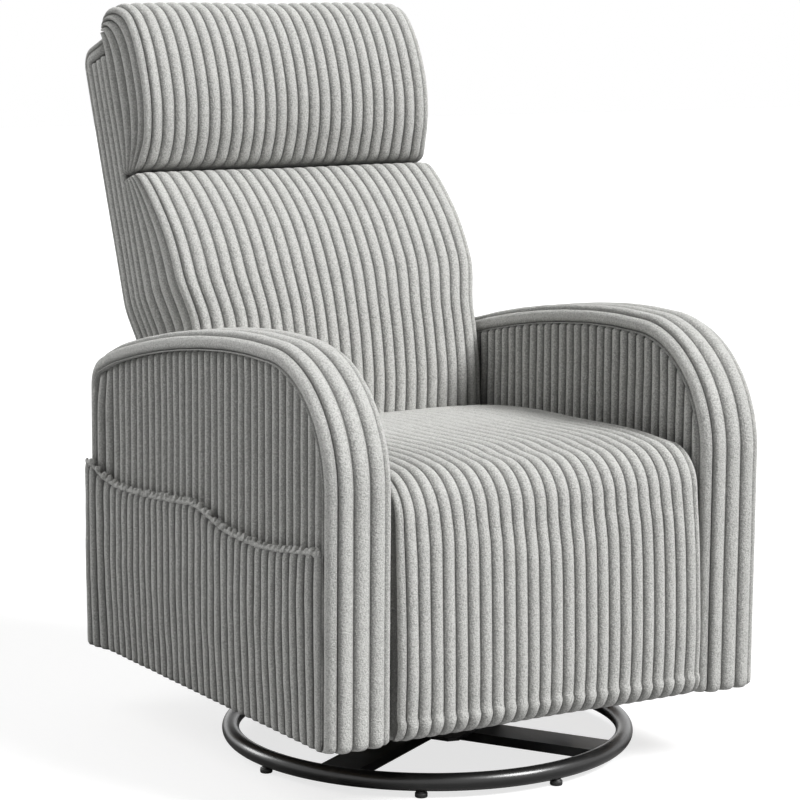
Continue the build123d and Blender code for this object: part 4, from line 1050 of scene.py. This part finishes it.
        def rise(radius: float, across: Array) -> Array:
            """A circle's height over its middle."""
            return np.sqrt(np.clip(radius**2 - across**2, 0, None))

        nose = self.arc_z + rise(self.front_radius - inset, y - self.arc_y)
        crown = self.top - self.crown_radius + rise(self.crown_radius - inset, y - self.arc_y)
        rear = corner_z + rise(max(self.rear_radius - inset, 1.0), np.clip(y - corner_y, 0, None))
        return np.where(y < self.arc_y, nose, np.where(y > corner_y, np.minimum(crown, rear), crown))

    def raised(self, points: Array) -> Array:
        """Points lifted with the wadding under the crown, from the hem line up.

        The lift is the crown's rise, smooth from nothing over the front arc to full behind it,
        times a smooth step over the height, so that the hem and the pocket stay where they are.
        """
        y, z = points[..., 1], points[..., 2]
        low, high = (self.front + run for run in self.rise_run)
        rear_fall = self.rear_fall * smooth_step(self.rear_fall_from, self.rear, y)
        along = smooth_step(low, high, y) * (1 - rear_fall)
        lifted = points.copy()
        lifted[..., 2] = z + self.crown_rise * along * smooth_step(*self.rise_heights, z)
        return lifted

    def band(self) -> Skin:
        """The crowned band: a closed section carried along the outline."""
        outer, way = self.outline(self.band_step)
        inner = outer - self.band_depth * way
        near_hem = outer[:, 1] < self.hem + self.hem_zone
        edges = np.where(outer[:, 0] < 0, self.front + self.band_depth, self.rear - self.band_depth)
        inner[near_hem, 0] = edges[near_hem]
        inner[near_hem, 1] = np.maximum(outer[near_hem, 1], self.hem + 1)
        style = RibStyle(self.band_rib_depth, roundness=2.2)
        section = Section(self.width / 2, self.band_corner, self.band_ribs, style)
        from_front = np.arange(len(outer))
        ends = np.minimum(fade(np.minimum(from_front, from_front[::-1]), self.hem_stations), HEM_END)
        rings, crest = section.rings(outer, inner, np.full(len(outer), self.band_crown), 11, ends)
        rings[..., 0] += self.outer_x - self.width / 2
        return Skin.tube(self.raised(rings), crest)

    def wrap(self, y: Array, z: Array) -> Array:
        """How far the outer cloth stands out where it goes over the band's edge to the rear."""
        low, high = (self.rear + run for run in self.wrap_run)
        over = self.rear_wrap * smooth_step(low, high, y)
        over = over * (1 - smooth_step(*self.wrap_heights, z))
        round_off = fade(self.rear - self.rear_inset - y, self.edge_round)
        return over - self.edge_drop * (1 - np.sqrt(1 - round_off**2))

    def upright_cords(self, depth: float, rear_inset: float) -> tuple[RibStyle, int, Array, Array]:
        """Upright cords from the band's front edge to the rear: style, count, places and Y."""
        front, rear = self.front + self.band_depth - self.seam, self.rear - rear_inset
        count = round((rear - front) / self.panel_pitch)
        style = RibStyle(depth, fullness=1.0)
        place = style.places(count)
        return style, count, place, front + place / count * (rear - front)

    def shading(self, style: RibStyle, dip: Array) -> Array:
        """The crest share of upright cords, with broad painted shade in the valleys."""
        return np.clip(1 + self.valley_shade * dip / style.depth, self.deepest_shade, 1)

    def panel(self, crest_x: float, back_x: float, rear_inset: float, seed: int) -> Skin:
        """A sheet of upright ribs inside the band, drawn in along its seam.

        X is the crest plane less the rib height, and the ribs' ends are domes under the band and
        at the hem. A sheet whose rear inset is less than the band's goes over the band's edge.
        """
        inset = self.band_depth - self.seam
        style, count, place, y = self.upright_cords(self.panel_rib_depth, rear_inset)
        share = in_runs(self.panel_places, self.panel_steps)
        z = self.hem + share[:, None] * (self.top_at(y, inset)[None, :] - self.hem)
        y = np.repeat(y[None, :], len(share), axis=0)
        y = y + self.sway * soft_noise(len(share), len(place), (6, count // 2), seed)
        wraps = rear_inset < inset
        below = self.crown_slope * (self.top_at(y, inset) - z)
        round_edge = (y > self.rear - self.wrap_seam) & wraps
        seam = np.clip(np.where(round_edge, below, self.inside(y, z) - inset), 0, None)
        over_hem = (z - self.hem) * self.hem_slope + self.hem_margin
        near = fade(np.minimum(seam + self.seam_margin, over_hem), self.panel_end)
        dip = style.ended(place[None, :], near)
        gathered = self.gather_lift * np.exp(-seam / self.gather_reach) * (z > self.hem + self.gather_from)
        lift = dip + gathered + self.roughness * soft_noise(len(share), len(place), (14, count), seed + 1)
        out = 1 if crest_x > back_x else -1
        if wraps:
            lift = lift + self.wrap(y, z)
        grid = np.stack([crest_x + out * lift, y, z], axis=-1)
        return Skin.slab(self.raised(grid), back_x, self.shading(style, dip))

    def mouth_at(self, y: Array) -> Array:
        """The height of the pocket's mouth, on a smooth curve through the sewn points."""
        front, rear = self.front + self.band_depth, self.rear - self.rear_inset
        knots = np.array([((front + rear) / 2 + share * (rear - front) / 2, z) for share, z in self.mouth])
        line = spline(knots, 4.0)
        return np.interp(y, line[:, 0], line[:, 1])

    def pocket(self) -> Skin:
        """The pocket's patch: ribs that start under the gathered hem and end at the arm's hem."""
        style, count, place, y = self.upright_cords(self.pocket_rib_depth, self.rear_inset)
        front, rear = y[0], y[-1]
        share = in_runs(self.pocket_places, self.pocket_steps)
        top = self.mouth_at(y) - self.pocket_hem
        z = self.hem + share[:, None] * (top[None, :] - self.hem)
        gathered = np.exp(-(top[None, :] - z) / self.pocket_gather)
        y = np.repeat(y[None, :], len(share), axis=0)
        sway = self.pocket_sway[0] + self.pocket_sway[1] * gathered
        y = y + sway * soft_noise(len(share), len(place), (7, count), 31)
        crest_x = self.outer_x - self.panel_inset + self.pocket_gap + self.pocket_cloth
        edge = fade(z - self.hem + self.pocket_margin, self.panel_end)
        dip = style.ended(place[None, :], np.maximum(self.gather_end * gathered**3, HEM_END * edge))
        from_side, from_hem = self.pocket_slack
        slack = np.clip(np.minimum(y - front, rear - y) / from_side, 0, 1)
        slack = slack * np.clip((z - self.hem) / from_hem, 0, 1)
        lift = dip + self.pocket_bulge * np.sin(slack * math.pi / 2) + self.wrap(y, z)
        lift = lift + self.pocket_roughness * soft_noise(len(share), len(place), (12, count), 32)
        grid = np.stack([crest_x + lift, y, z], axis=-1)
        # Painted shade under the gathered mouth: the cords are darkened towards it by gather_shade.
        crest = self.shading(style, dip) * (1 - self.gather_shade * gathered)
        return Skin.slab(grid, crest_x - self.pocket_cloth, crest)

    def hem_roll(self) -> Skin:
        """The gathered hem: an elastic roll along the mouth with a puckered knot at each cord.

        The knots are rumpled balls, a big one and a small one below it for each pucker. They
        stray along the mouth, down and out.
        """
        front, rear = self.front + self.band_depth + 1, self.rear - self.rear_inset - 1
        draw = np.random.default_rng(41)
        y = np.linspace(front, rear, 300)
        turn = full_circle(12)
        thick, tall = self.roll_radii
        middle = self.outer_x - self.panel_inset + self.pocket_gap + self.roll_out
        x = middle + thick * np.cos(turn)[None, :] + self.wrap(y, 0 * y)[:, None]
        height = self.mouth_at(y)[:, None] - self.roll_drop + tall * np.sin(turn)[None, :]
        rings = np.stack([x, np.repeat(y[:, None], len(turn), axis=1), height], axis=-1)
        skins = [Skin.tube(rings, np.full(rings.shape[:2], 0.8))]
        count = round((rear - front) / (self.panel_pitch * self.knot_pitch))
        along, down, outwards = self.knot_stray
        for number in range(2 * count):
            small = number % 2
            radius, drop = self.small_knot if small else self.big_knot
            share = number // 2 + 0.5 + self.knot_lag * small + draw.uniform(-along, along)
            at = front + share * (rear - front) / count
            drop = drop + draw.uniform(-down, down)
            size = radius * draw.uniform(*self.knot_sizes)
            if at < rear - self.knot_margin:
                out = middle - self.knot_in + draw.uniform(-outwards, outwards)
                out += float(self.wrap(np.array(at), np.array(0.0)))
                place = np.array([out, at, float(self.mouth_at(np.array(at))) - drop])
                skins.append(self.knot(place, size, draw))
        return Skin.joined(skins)

    @staticmethod
    def knot(place: Array, size: float, draw: np.random.Generator) -> Skin:
        """A pucker: a ball whose radius has three to five soft lobes round it."""
        lat = np.linspace(-0.48 * math.pi, 0.48 * math.pi, 9)[:, None]
        lon = full_circle(14)[None, :]
        lobes = 1 + 0.16 * np.sin(draw.integers(3, 6) * lon + draw.uniform(0, 6)) * np.cos(lat)
        lobes = lobes + 0.1 * np.sin(3 * lat + draw.uniform(0, 6))
        ball = np.stack([0.8 * np.cos(lat) * np.cos(lon), 0.86 * np.cos(lat) * np.sin(lon),
                         np.sin(lat) + 0 * lon], axis=-1) * (size * lobes)[..., None]
        # Painted highlight: the crest share is raised on the knot's outward middle, which makes it paler
        # there.
        crest = 0.8 + 0.2 * np.cos(lat) ** 2 * np.clip(np.cos(lon), 0, 1)
        return Skin.tube(ball + place, crest)

    def build(self, shop: Workshop, cloth: Dressing) -> None:
        """Makes both arms' pieces in place of the frame's soft nodes."""
        crest_x = self.outer_x - self.panel_inset
        inner_x = self.outer_x - self.width + 0.5
        outer_panel = self.panel(crest_x, crest_x - self.panel_thickness, self.rear_inset, 21)
        inner_panel = self.panel(inner_x, inner_x + self.panel_thickness, self.band_depth - self.seam, 25)
        for name, skin, node, fill in (
                ("arm_band_covers", self.band(), "arm_bands", 0.8),
                ("outer_panel_covers", outer_panel, "outer_panels", 0.5),
                ("inner_panel_covers", inner_panel, "inner_panels", 0.5),
                ("pocket_patches", self.pocket(), "side_pockets", 0.2),
                ("pocket_gathers", self.hem_roll(), "pocket_hems", 0.3)):
            shop.cover(name, Skin.joined([skin, skin.mirrored()]), (node,), cloth, Body.CARRIAGE)


# ------------------------------------------------------------------ seat and leg rest
@dataclass(frozen=True)
class SeatAndLegRest:
    """The seat and the leg rest under one cover, which runs over the nose."""

    half: float = 257.0
    ribs: int = 27
    rib_depth: float = 7.6
    corner: float = 15.0
    height: float = 468.0
    rear_y: float = 214.0
    rear_z: float = 454.0
    base_z: float = 369.0
    nose_y: float = -240.0
    nose_radius: float = 100.0
    bend_radius: float = 60.0
    front_rise: float = 4.0
    crown: float = 1.5
    hinge_reach: float = 105.0
    pad: float = 36.0
    hem: float = 107.0
    hem_round: float = 30.0
    hem_stations: float = 3.0
    tuck_squash: float = 0.85
    under_turns: tuple[float, ...] = (0, 44, 46, 60, 75, 90)
    under_radii: tuple[float, ...] = (64, 64, 30, 33.5, 40.5)
    lean: float = 10.0
    fold_reach: float = 34.0
    hinge_turn: float = 45.0
    swell_reach: float = 5.0
    pressed_flat: float = 0.86
    pressed_run: tuple[float, float] = (-270.0, 30.0)

    def line(self) -> Array:
        """The crest line from the seat's rear over the nose to the hem: (Y, Z) at equal steps."""
        top_z = self.height + self.front_rise
        nose_z = top_z - self.bend_radius
        front = self.nose_y - self.nose_radius
        bend_y = front + self.bend_radius
        top = spline(np.array([(self.rear_y, self.rear_z), (140, self.height - 8), (60, self.height - 3),
                               (-60, self.height), (-180, top_z), (bend_y, top_z)]), 3.0)
        nose = arc((bend_y, nose_z), self.bend_radius, 90, 180)[1:]
        foot_y = front - self.lean
        down = spline(np.array([(front, nose_z), (front - 6, nose_z - 100), (foot_y, nose_z - 200),
                                (foot_y, self.hem + self.hem_round + 5)]), 3.0)[1:]
        tuck_y, tuck_z = foot_y + self.hem_round * self.tuck_squash, self.hem + self.hem_round
        tuck = arc((tuck_y, tuck_z), self.hem_round, 180, 262)[1:]
        tuck[:, 0] = foot_y + (tuck[:, 0] - foot_y) * self.tuck_squash
        return even_steps(np.vstack([top, nose, down, tuck]), 6.5)

    def underside(self, outer: Array) -> Array:
        """The inner point for each point of the crest line."""
        nose_z = self.height - self.nose_radius
        from_nose = outer - np.array([self.nose_y, nose_z])
        turn = np.degrees(np.arctan2(from_nose[:, 1], -from_nose[:, 0]))
        radius = np.interp(turn, self.under_turns, [*self.under_radii, self.base_z - nose_z])
        way = from_nose / np.linalg.norm(from_nose, axis=1, keepdims=True)
        inner = np.array([self.nose_y, nose_z]) + radius[:, None] * way
        on_top = outer[:, 0] >= self.nose_y
        inner[on_top] = np.column_stack([outer[on_top, 0], np.full(on_top.sum(), self.base_z)])
        below = (outer[:, 1] <= nose_z) & ~on_top
        inner[below] = np.column_stack([np.full(below.sum(), self.nose_y - self.nose_radius + self.pad),
                                        np.maximum(outer[below, 1], self.hem)])
        return inner

    def build(self, shop: Workshop, cloth: Dressing) -> None:
        """Makes the cover in place of the seat cushion and the leg rest pad; it rides on no body, and the
        hinge's ends worked out here are not used.
        """
        outer = self.line()
        section = Section(self.half, self.corner, self.ribs, RibStyle(self.rib_depth))
        ends = np.minimum(fade(np.arange(len(outer))[::-1], self.hem_stations), HEM_END)
        relief = 1 - self.pressed_flat * smooth_step(*self.pressed_run, outer[:, 0])
        rings, crest = section.rings(outer, self.underside(outer), np.full(len(outer), self.crown), 51, ends,
                                     Puff(self.swell_reach), relief)
        piece = shop.cover("seat_and_leg_rest_cover", Skin.tube(rings, crest),
                           ("seat_cushion", "leg_rest_pad"), cloth, None)
        turn = math.radians(self.hinge_turn)
        hinge = np.array([0.0, self.nose_y - self.hinge_reach * math.cos(turn),
                          self.height - self.nose_radius + self.hinge_reach * math.sin(turn)])
        along = np.array([0.0, -math.sin(turn), -math.cos(turn)]) * self.fold_reach
        start, end = shop.place(np.array([hinge - along, hinge + along]))
        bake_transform(piece)


# ------------------------------------------------------------------ back
@dataclass(frozen=True)
class Back:
    """The leaning back: lumbar cushion, head pillow, ribbed sides and the outside panel."""

    pivot: tuple[float, float] = (215.0, 400.0)
    tilt: float = 20.0
    half: float = 253.0
    depth: float = 155.0
    top: float = 695.0
    foot: float = -45.0
    frame_foot: float = -20.0
    top_radius: float = 30.0
    rear_pad: float = 27.0
    frame_depth: float = 50.7
    ribs: int = 27
    rib_depth: float = 7.6
    skirt_ribs: int = 4
    skirt_rib_depth: float = 7.5
    corner: float = 17.0
    outside_rib_depth: float = 5.5
    outside_skirt_depth: float = 4.0
    outside_corner: float = 11.0
    side_ribs: int = 3
    side_rib_depth: float = 6.0
    side_roughness: float = 0.4
    side_panel: float = 10.5
    side_swell: float = 14.0
    pillow_swell: float = 5.0
    clear_of_arms: tuple[float, float] = (200.0, 290.0)
    frame_plane: tuple[float, float] = (5.0, 72.0)
    puff_reach: float = 12.0
    plain_end: float = 0.25
    cushion: tuple[tuple[float, float, float], ...] = (
        (26, -12, 0), (60, -19, 3), (120, -36, 8), (200, -47, 11), (280, -47, 12), (350, -34, 11),
        (410, -8, 9), (447, 14, 6), (463, 30, 4), (469, 50, 2))
    pillow: tuple[tuple[float, float, float, float], ...] = (
        (470, 52, 470, 6), (475, 34, 475, 6), (490, 17, 490, 6), (522, -5, 522, 6), (575, -21, 575, 6),
        (645, -21, 645, 6), (696, -7, 670, 6), (724, 15, 684, 6), (735, 42, 694, 6), (725, 71, 702, 6))

    def at(self, up: Array, rearward: Array) -> Array:
        """Points (Y, Z) from the height along the back and the depth behind the pivot."""
        tilt = math.radians(self.tilt)
        return np.column_stack([self.pivot[0] + up * math.sin(tilt) + rearward * math.cos(tilt),
                                self.pivot[1] + up * math.cos(tilt) - rearward * math.sin(tilt)])

    def widened(self, points: Array, swell: float) -> Array:
        """Points pushed outwards where the back stands clear of the arms.

        They go out by the swell at the front, and by the sides' own swell at the frame.
        """
        sine, cosine = math.sin(math.radians(self.tilt)), math.cos(math.radians(self.tilt))
        y, z = points[..., 1] - self.pivot[0], points[..., 2] - self.pivot[1]
        up, rearward = y * sine + z * cosine, y * cosine - z * sine
        out = swell + (self.side_swell - swell) * smooth_step(*self.frame_plane, rearward)
        wide = points.copy()
        wide[..., 0] *= 1 + out / self.half * smooth_step(*self.clear_of_arms, up)
        return wide

    def pad(self, knots: Array, swell: float, seed: int, ends: tuple[float, float]) -> Skin:
        """A cushion.

        Args:
            knots: rows of (up, crest depth, up of the inner end, lift of the middle).
            swell: how much wider it is on each side, clear of the arms.
            seed: the start of the random draw.
            ends: how far in from the first and the last station the ribs' ends are rounded; over
                the outer quarter of that the cloth is plain.
        """
        line = spline(knots, 5.0)
        cushion_back = self.depth - self.rear_pad - self.frame_depth + 0.5
        outer = self.at(line[:, 0], line[:, 1])
        inner = self.at(line[:, 2], np.full(len(line), cushion_back))
        section = Section(self.half, self.corner, self.ribs, RibStyle(self.rib_depth),
                          self.skirt_ribs, RibStyle(self.skirt_rib_depth, fullness=0.85))
        run = np.append(0.0, np.cumsum(np.linalg.norm(np.diff(outer, axis=0), axis=1)))
        near = [fade(way - self.plain_end * reach, (1 - self.plain_end) * reach) if reach else 0 * run
                for way, reach in zip((run, run[-1] - run), ends)]
        rings, crest = section.rings(outer, inner, line[:, 3], seed, np.maximum(*near), Puff(self.puff_reach))
        return Skin.tube(self.widened(rings, swell), crest)

    def outside(self) -> Skin:
        """The outside panel, which folds over the top of the frame to the pillow."""
        rear_face = self.depth - self.rear_pad
        bend_up, bend_back = self.top - self.top_radius, self.depth - self.top_radius
        turns = np.radians(np.linspace(0, 90, 12))

        def fold(rearward: float, radius: float, top: float) -> Array:
            """Points (Y, Z) up the rear, round the bend and forwards to the pillow."""
            return self.at(*np.vstack([
                np.column_stack([np.linspace(self.foot, bend_up, 90), np.full(90, rearward)]),
                np.column_stack([bend_up + radius * np.sin(turns), bend_back + radius * np.cos(turns)]),
                [[top, rear_face - self.frame_depth - 2.0]]]).T)

        outer = fold(self.depth, self.top_radius, self.top)
        inner = fold(rear_face, self.top_radius - self.rear_pad, self.top - self.rear_pad)
        section = Section(self.half, self.outside_corner, self.ribs - 1, RibStyle(self.outside_rib_depth),
                          1, RibStyle(self.outside_skirt_depth))
        rings, crest = section.rings(outer, inner, np.zeros(len(outer)), 71)
        return Skin.tube(self.widened(rings, self.side_swell), crest)

    def side(self) -> Skin:
        """A side panel: a sheet with three ribs along the back."""
        rear_face = self.depth - self.rear_pad
        front = rear_face - self.frame_depth
        style = RibStyle(self.side_rib_depth)
        place = style.places(self.side_ribs)
        ups = np.linspace(self.frame_foot, self.top - self.top_radius - 0.3, 90)
        rearward = front + place / self.side_ribs * self.frame_depth
        wobble = soft_noise(len(ups), len(place), (12, self.side_ribs), 81)
        x = self.half + style.height(place)[None, :] + self.side_roughness * wobble
        points = self.at(np.repeat(ups, len(place)), np.tile(rearward, len(ups)))
        grid = np.stack([x, points[:, 0].reshape(x.shape), points[:, 1].reshape(x.shape)], axis=-1)
        crest = np.repeat(style.crest(place)[None, :], len(ups), axis=0)
        return Skin.slab(self.widened(grid, self.side_swell), self.half - self.side_panel, crest)

    def build(self, shop: Workshop, cloth: Dressing) -> None:
        """Makes the back's pieces in place of the frame's soft nodes."""
        lumbar = np.array([(up, crest, up, swell) for up, crest, swell in self.cushion])
        cushion = self.pad(lumbar, self.side_swell, 61, (0.0, 26.0))
        pillow = self.pad(np.array(self.pillow), self.pillow_swell, 65, (26.0, 12.0))
        side = self.side()
        for name, skin, node, fill in (
                ("back_cushion_cover", cushion, "back_cushion", 0.8),
                ("head_pillow_cover", pillow, "head_cushion", 0.85),
                ("outside_back_cover", self.outside(), "back_outer_panel", 0.4),
                ("back_side_covers", Skin.joined([side, side.mirrored()]), "back_side_panels", 0.3)):
            shop.cover(name, skin, (node,), cloth, Body.BACK)


# ------------------------------------------------------------------ lower rear panel
@dataclass(frozen=True)
class RearValance:
    """The ribbed panel that closes the body between the arms, under the back."""

    half: float = 258.0
    rear: float = 386.0
    thickness: float = 23.0
    hem: float = 107.0
    top: float = 320.0
    ribs: int = 27
    rib_depth: float = 5.5
    corner: float = 5.0
    edge_round: float = 9.0
    edge_drop: float = 6.0

    def build(self, shop: Workshop, cloth: Dressing) -> None:
        """Makes the panel, with its hem and its top edge rounded."""
        z = np.linspace(self.hem, self.top, 30)
        edge = fade(np.minimum(z - self.hem, self.top - z), self.edge_round)
        outer = np.column_stack([self.rear - self.edge_drop * (1 - np.sqrt(1 - edge**2)), z])
        inner = np.column_stack([np.full(len(z), self.rear - self.thickness), z])
        section = Section(self.half, self.corner, self.ribs, RibStyle(self.rib_depth))
        rings, crest = section.rings(outer, inner, np.zeros(len(z)), 91, HEM_END * edge)
        shop.cover("rear_valance_cover", Skin.tube(rings, crest), ("lower_rear_panel",), cloth,
                   Body.CARRIAGE)


# ------------------------------------------------------------------ base
@dataclass(frozen=True)
class Base:
    """The bent tube ring and its pad feet."""

    swivel_y: float = -18.0
    ring_radius: float = 293.0
    tube_radius: float = 12.7
    ring_z: float = 21.5
    foot_radius: float = 9.0
    bar_turn: float = -59.0
    foot_spread: float = 25.0
    foot_profile: tuple[tuple[float, float], ...] = (
        (0.2, 0.0), (0.78, 0.0), (0.93, 0.05), (1.0, 0.16), (1.0, 0.62), (0.94, 0.74), (0.8, 0.8),
        (0.74, 0.84), (0.74, 1.0), (0.2, 1.0))

    def ring(self) -> Skin:
        """A torus: a circle of the tube's radius carried round the ring."""
        turn, around = full_circle(144)[:, None], full_circle(32)[None, :]
        reach = self.ring_radius + self.tube_radius * np.cos(around)
        points = np.stack([reach * np.cos(turn), self.swivel_y + reach * np.sin(turn),
                           self.ring_z + self.tube_radius * np.sin(around) + 0 * turn], axis=-1)
        return Skin.tube(points, looped=True)

    def feet(self) -> Skin:
        """Eight pads, each a disc with a rounded foot and a short neck up into the tube."""
        height = self.ring_z - self.tube_radius + 0.6
        profile = np.array(self.foot_profile)
        turn = full_circle(28)
        radius = self.foot_radius * profile[:, 0][:, None]
        feet = []
        for bar in range(4):
            for side in (-1, 1):
                way = math.radians(self.bar_turn + 90 * bar + side * self.foot_spread)
                x = self.ring_radius * math.cos(way) + radius * np.cos(turn)[None, :]
                y = self.swivel_y + self.ring_radius * math.sin(way) + radius * np.sin(turn)[None, :]
                z = np.repeat(height * profile[:, 1][:, None], len(turn), axis=1)
                feet.append(Skin.tube(np.stack([x, y, z], axis=-1)))
        return Skin.joined(feet)

    def build(self, shop: Workshop, enamel: Dressing, plastic: Dressing) -> None:
        """Makes the ring and the feet."""
        shop.cover("ring_tube", self.ring(), ("base_ring",), enamel, Body.BASE)
        shop.cover("pad_feet", self.feet(), ("foot_glides",), plastic, Body.BASE)


# ------------------------------------------------------------------ frame nodes
def dress_frame(record: dict, nodes: dict, finishes: dict[Slot, bpy.types.Material]) -> None:
    """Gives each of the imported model's own nodes the finish of its slot.

    Args:
        record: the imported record.
        nodes: the frame's objects by name.
        finishes: a material for each slot.
    """
    slots = {row["node"]: Slot(row["material_slot"]) for row in record["subparts"]}
    for name, node in nodes.items():
        node.data.materials.clear()
        node.data.materials.append(finishes[slots[name]])
    LOG.info("frame nodes dressed: %d", len(nodes))


# ------------------------------------------------------------------ studio
@dataclass(frozen=True)
class Studio:
    """A pale floor, soft light and the camera of the picture."""

    camera_at: tuple[float, float, float] = (-2137.0, -3374.0, 1143.0)
    looks_at: tuple[float, float, float] = (0.0, 0.0, 525.0)
    roll: float = 0.50
    focal_pixels: float = 2750.33
    middle: tuple[float, float] = (423.91, 389.24)
    picture: float = 800.0
    sensor: float = 36.0
    clip_end: float = 60.0
    fill: float = 0.12
    floor_reach: float = 14.0
    floor_level: tuple[float, float] = (0.37, 0.39)
    floor_glow: float = 0.75
    lamp_rows: tuple[tuple[str, tuple[float, float, float], float, float], ...] = (
        ("key", (0.42, -0.66, 0.78), 4.05, 22.0),
        ("left", (-0.5, 0.75, 0.35), 1.0, 20.0),
        ("above", (-0.5, 0.1, 0.85), 0.65, 40.0),
        ("rear", (0.3, 1.0, 0.35), 0.6, 90.0))

    def camera(self, shop: Workshop) -> None:
        """Makes the camera."""
        data = bpy.data.cameras.new("camera")
        data.sensor_width = self.sensor
        data.sensor_fit = "HORIZONTAL"
        data.lens = self.sensor * self.focal_pixels / self.picture
        data.shift_x = (self.picture / 2 - self.middle[0]) / self.picture
        data.shift_y = (self.middle[1] - self.picture / 2) / self.picture
        data.clip_end = self.clip_end
        camera = linked("camera", data)
        place, target = (Vector(row) for row in shop.place(np.array([self.camera_at, self.looks_at])))
        roll = Quaternion((0, 0, 1), math.radians(self.roll))
        camera.rotation_mode = "QUATERNION"
        camera.rotation_quaternion = (target - place).to_track_quat("-Z", "Y") @ roll
        camera.location = place
        bpy.context.scene.camera = camera

    def world(self) -> None:
        """White to the camera and in reflections, and an even fill elsewhere."""
        world = bpy.data.worlds.new("studio")
        tree = Tree(world)
        path = tree.node("ShaderNodeLightPath")
        camera, glossy, clear = (Signal(tree, path.outputs[f"Is {kind} Ray"])
                                 for kind in ("Camera", "Glossy", "Transmission"))
        fill, white = (tree.signal("ShaderNodeBackground", None, {"Color": (1, 1, 1, 1), "Strength": level})
                       for level in (self.fill, 1.0))
        mix = tree.signal("ShaderNodeMixShader", None,
                          {0: camera.larger(glossy).larger(clear), 1: fill, 2: white})
        tree.node("ShaderNodeOutputWorld", None, {"Surface": mix})
        bpy.context.scene.world = world

    def floor(self) -> None:
        """A wide floor that is white to the camera where it is lit, and keeps the shadow."""
        mesh = bpy.data.meshes.new("floor")
        reach = self.floor_reach
        mesh.from_pydata([(-reach, -reach, 0), (reach, -reach, 0), (reach, reach, 0), (-reach, reach, 0)],
                         [], [(0, 1, 2, 3)])
        s = Shader("floor_white")
        seen = s.signal("ShaderNodeLightPath", output="Is Camera Ray")
        darker, paler = (grey(level) for level in self.floor_level)
        mesh.materials.append(s.finish({
            "Base Color": s.blend(darker, paler, s.noise(60.0, 2.0).between(0.3, 0.7)), "Roughness": 0.9,
            "Specular IOR Level": 0.1, "Emission Color": s.blend(grey(0.0), grey(1.0), seen),
            "Emission Strength": self.floor_glow}))
        linked("floor", mesh)

    def lamps(self) -> None:
        """A key from the front right above, and weaker lights from the left, above and behind."""
        for name, way, strength, spread in self.lamp_rows:
            data = bpy.data.lights.new(name, "SUN")
            data.energy = strength
            data.angle = math.radians(spread)
            lamp = linked(name, data)
            lamp.rotation_mode = "QUATERNION"
            lamp.rotation_quaternion = Vector(way).to_track_quat("Z", "Y")
            lamp.location = Vector(way) * 3

    def build(self, shop: Workshop) -> None:
        """Makes the studio."""
        self.camera(shop)
        self.world()
        self.floor()
        self.lamps()
        bpy.context.scene.view_settings.view_transform = "Standard"


def main() -> None:
    """Builds the whole scene, one sub-assembly after another."""
    logging.basicConfig(level=logging.INFO, format="%(name)s: %(message)s")
    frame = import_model()
    base = Base()
    shop = Workshop.from_frame(base.swivel_y)
    Studio().build(shop)

    finishes = {
        Slot.CORDUROY: PlushCord().material(),
        Slot.WEBBING: Webbing().material(),
        Slot.FOAM: Plastic("foam", 0.55, 0.12).material(),
        Slot.BOARD: Board().material(),
        Slot.BLACK_STEEL: BlackSteel().material(),
        Slot.ZINC_STEEL: ZincSteel().material(),
        Slot.NYLON: Plastic("nylon", 0.5, 0.05).material(),
        Slot.GLIDE: Plastic("glide_plastic", 0.02).material(),
    }
    dress_frame(frame["record"], frame["nodes"], finishes)
    cloth, enamel, plastic = (Dressing(finishes[slot], slot)
                              for slot in (Slot.CORDUROY, Slot.BLACK_STEEL, Slot.GLIDE))
    base.build(shop, enamel, plastic)
    for upholstery in (Arms(), SeatAndLegRest(), Back(), RearValance()):
        upholstery.build(shop, cloth)

    bpy.context.view_layer.update()


if __name__ == "__main__":
    main()
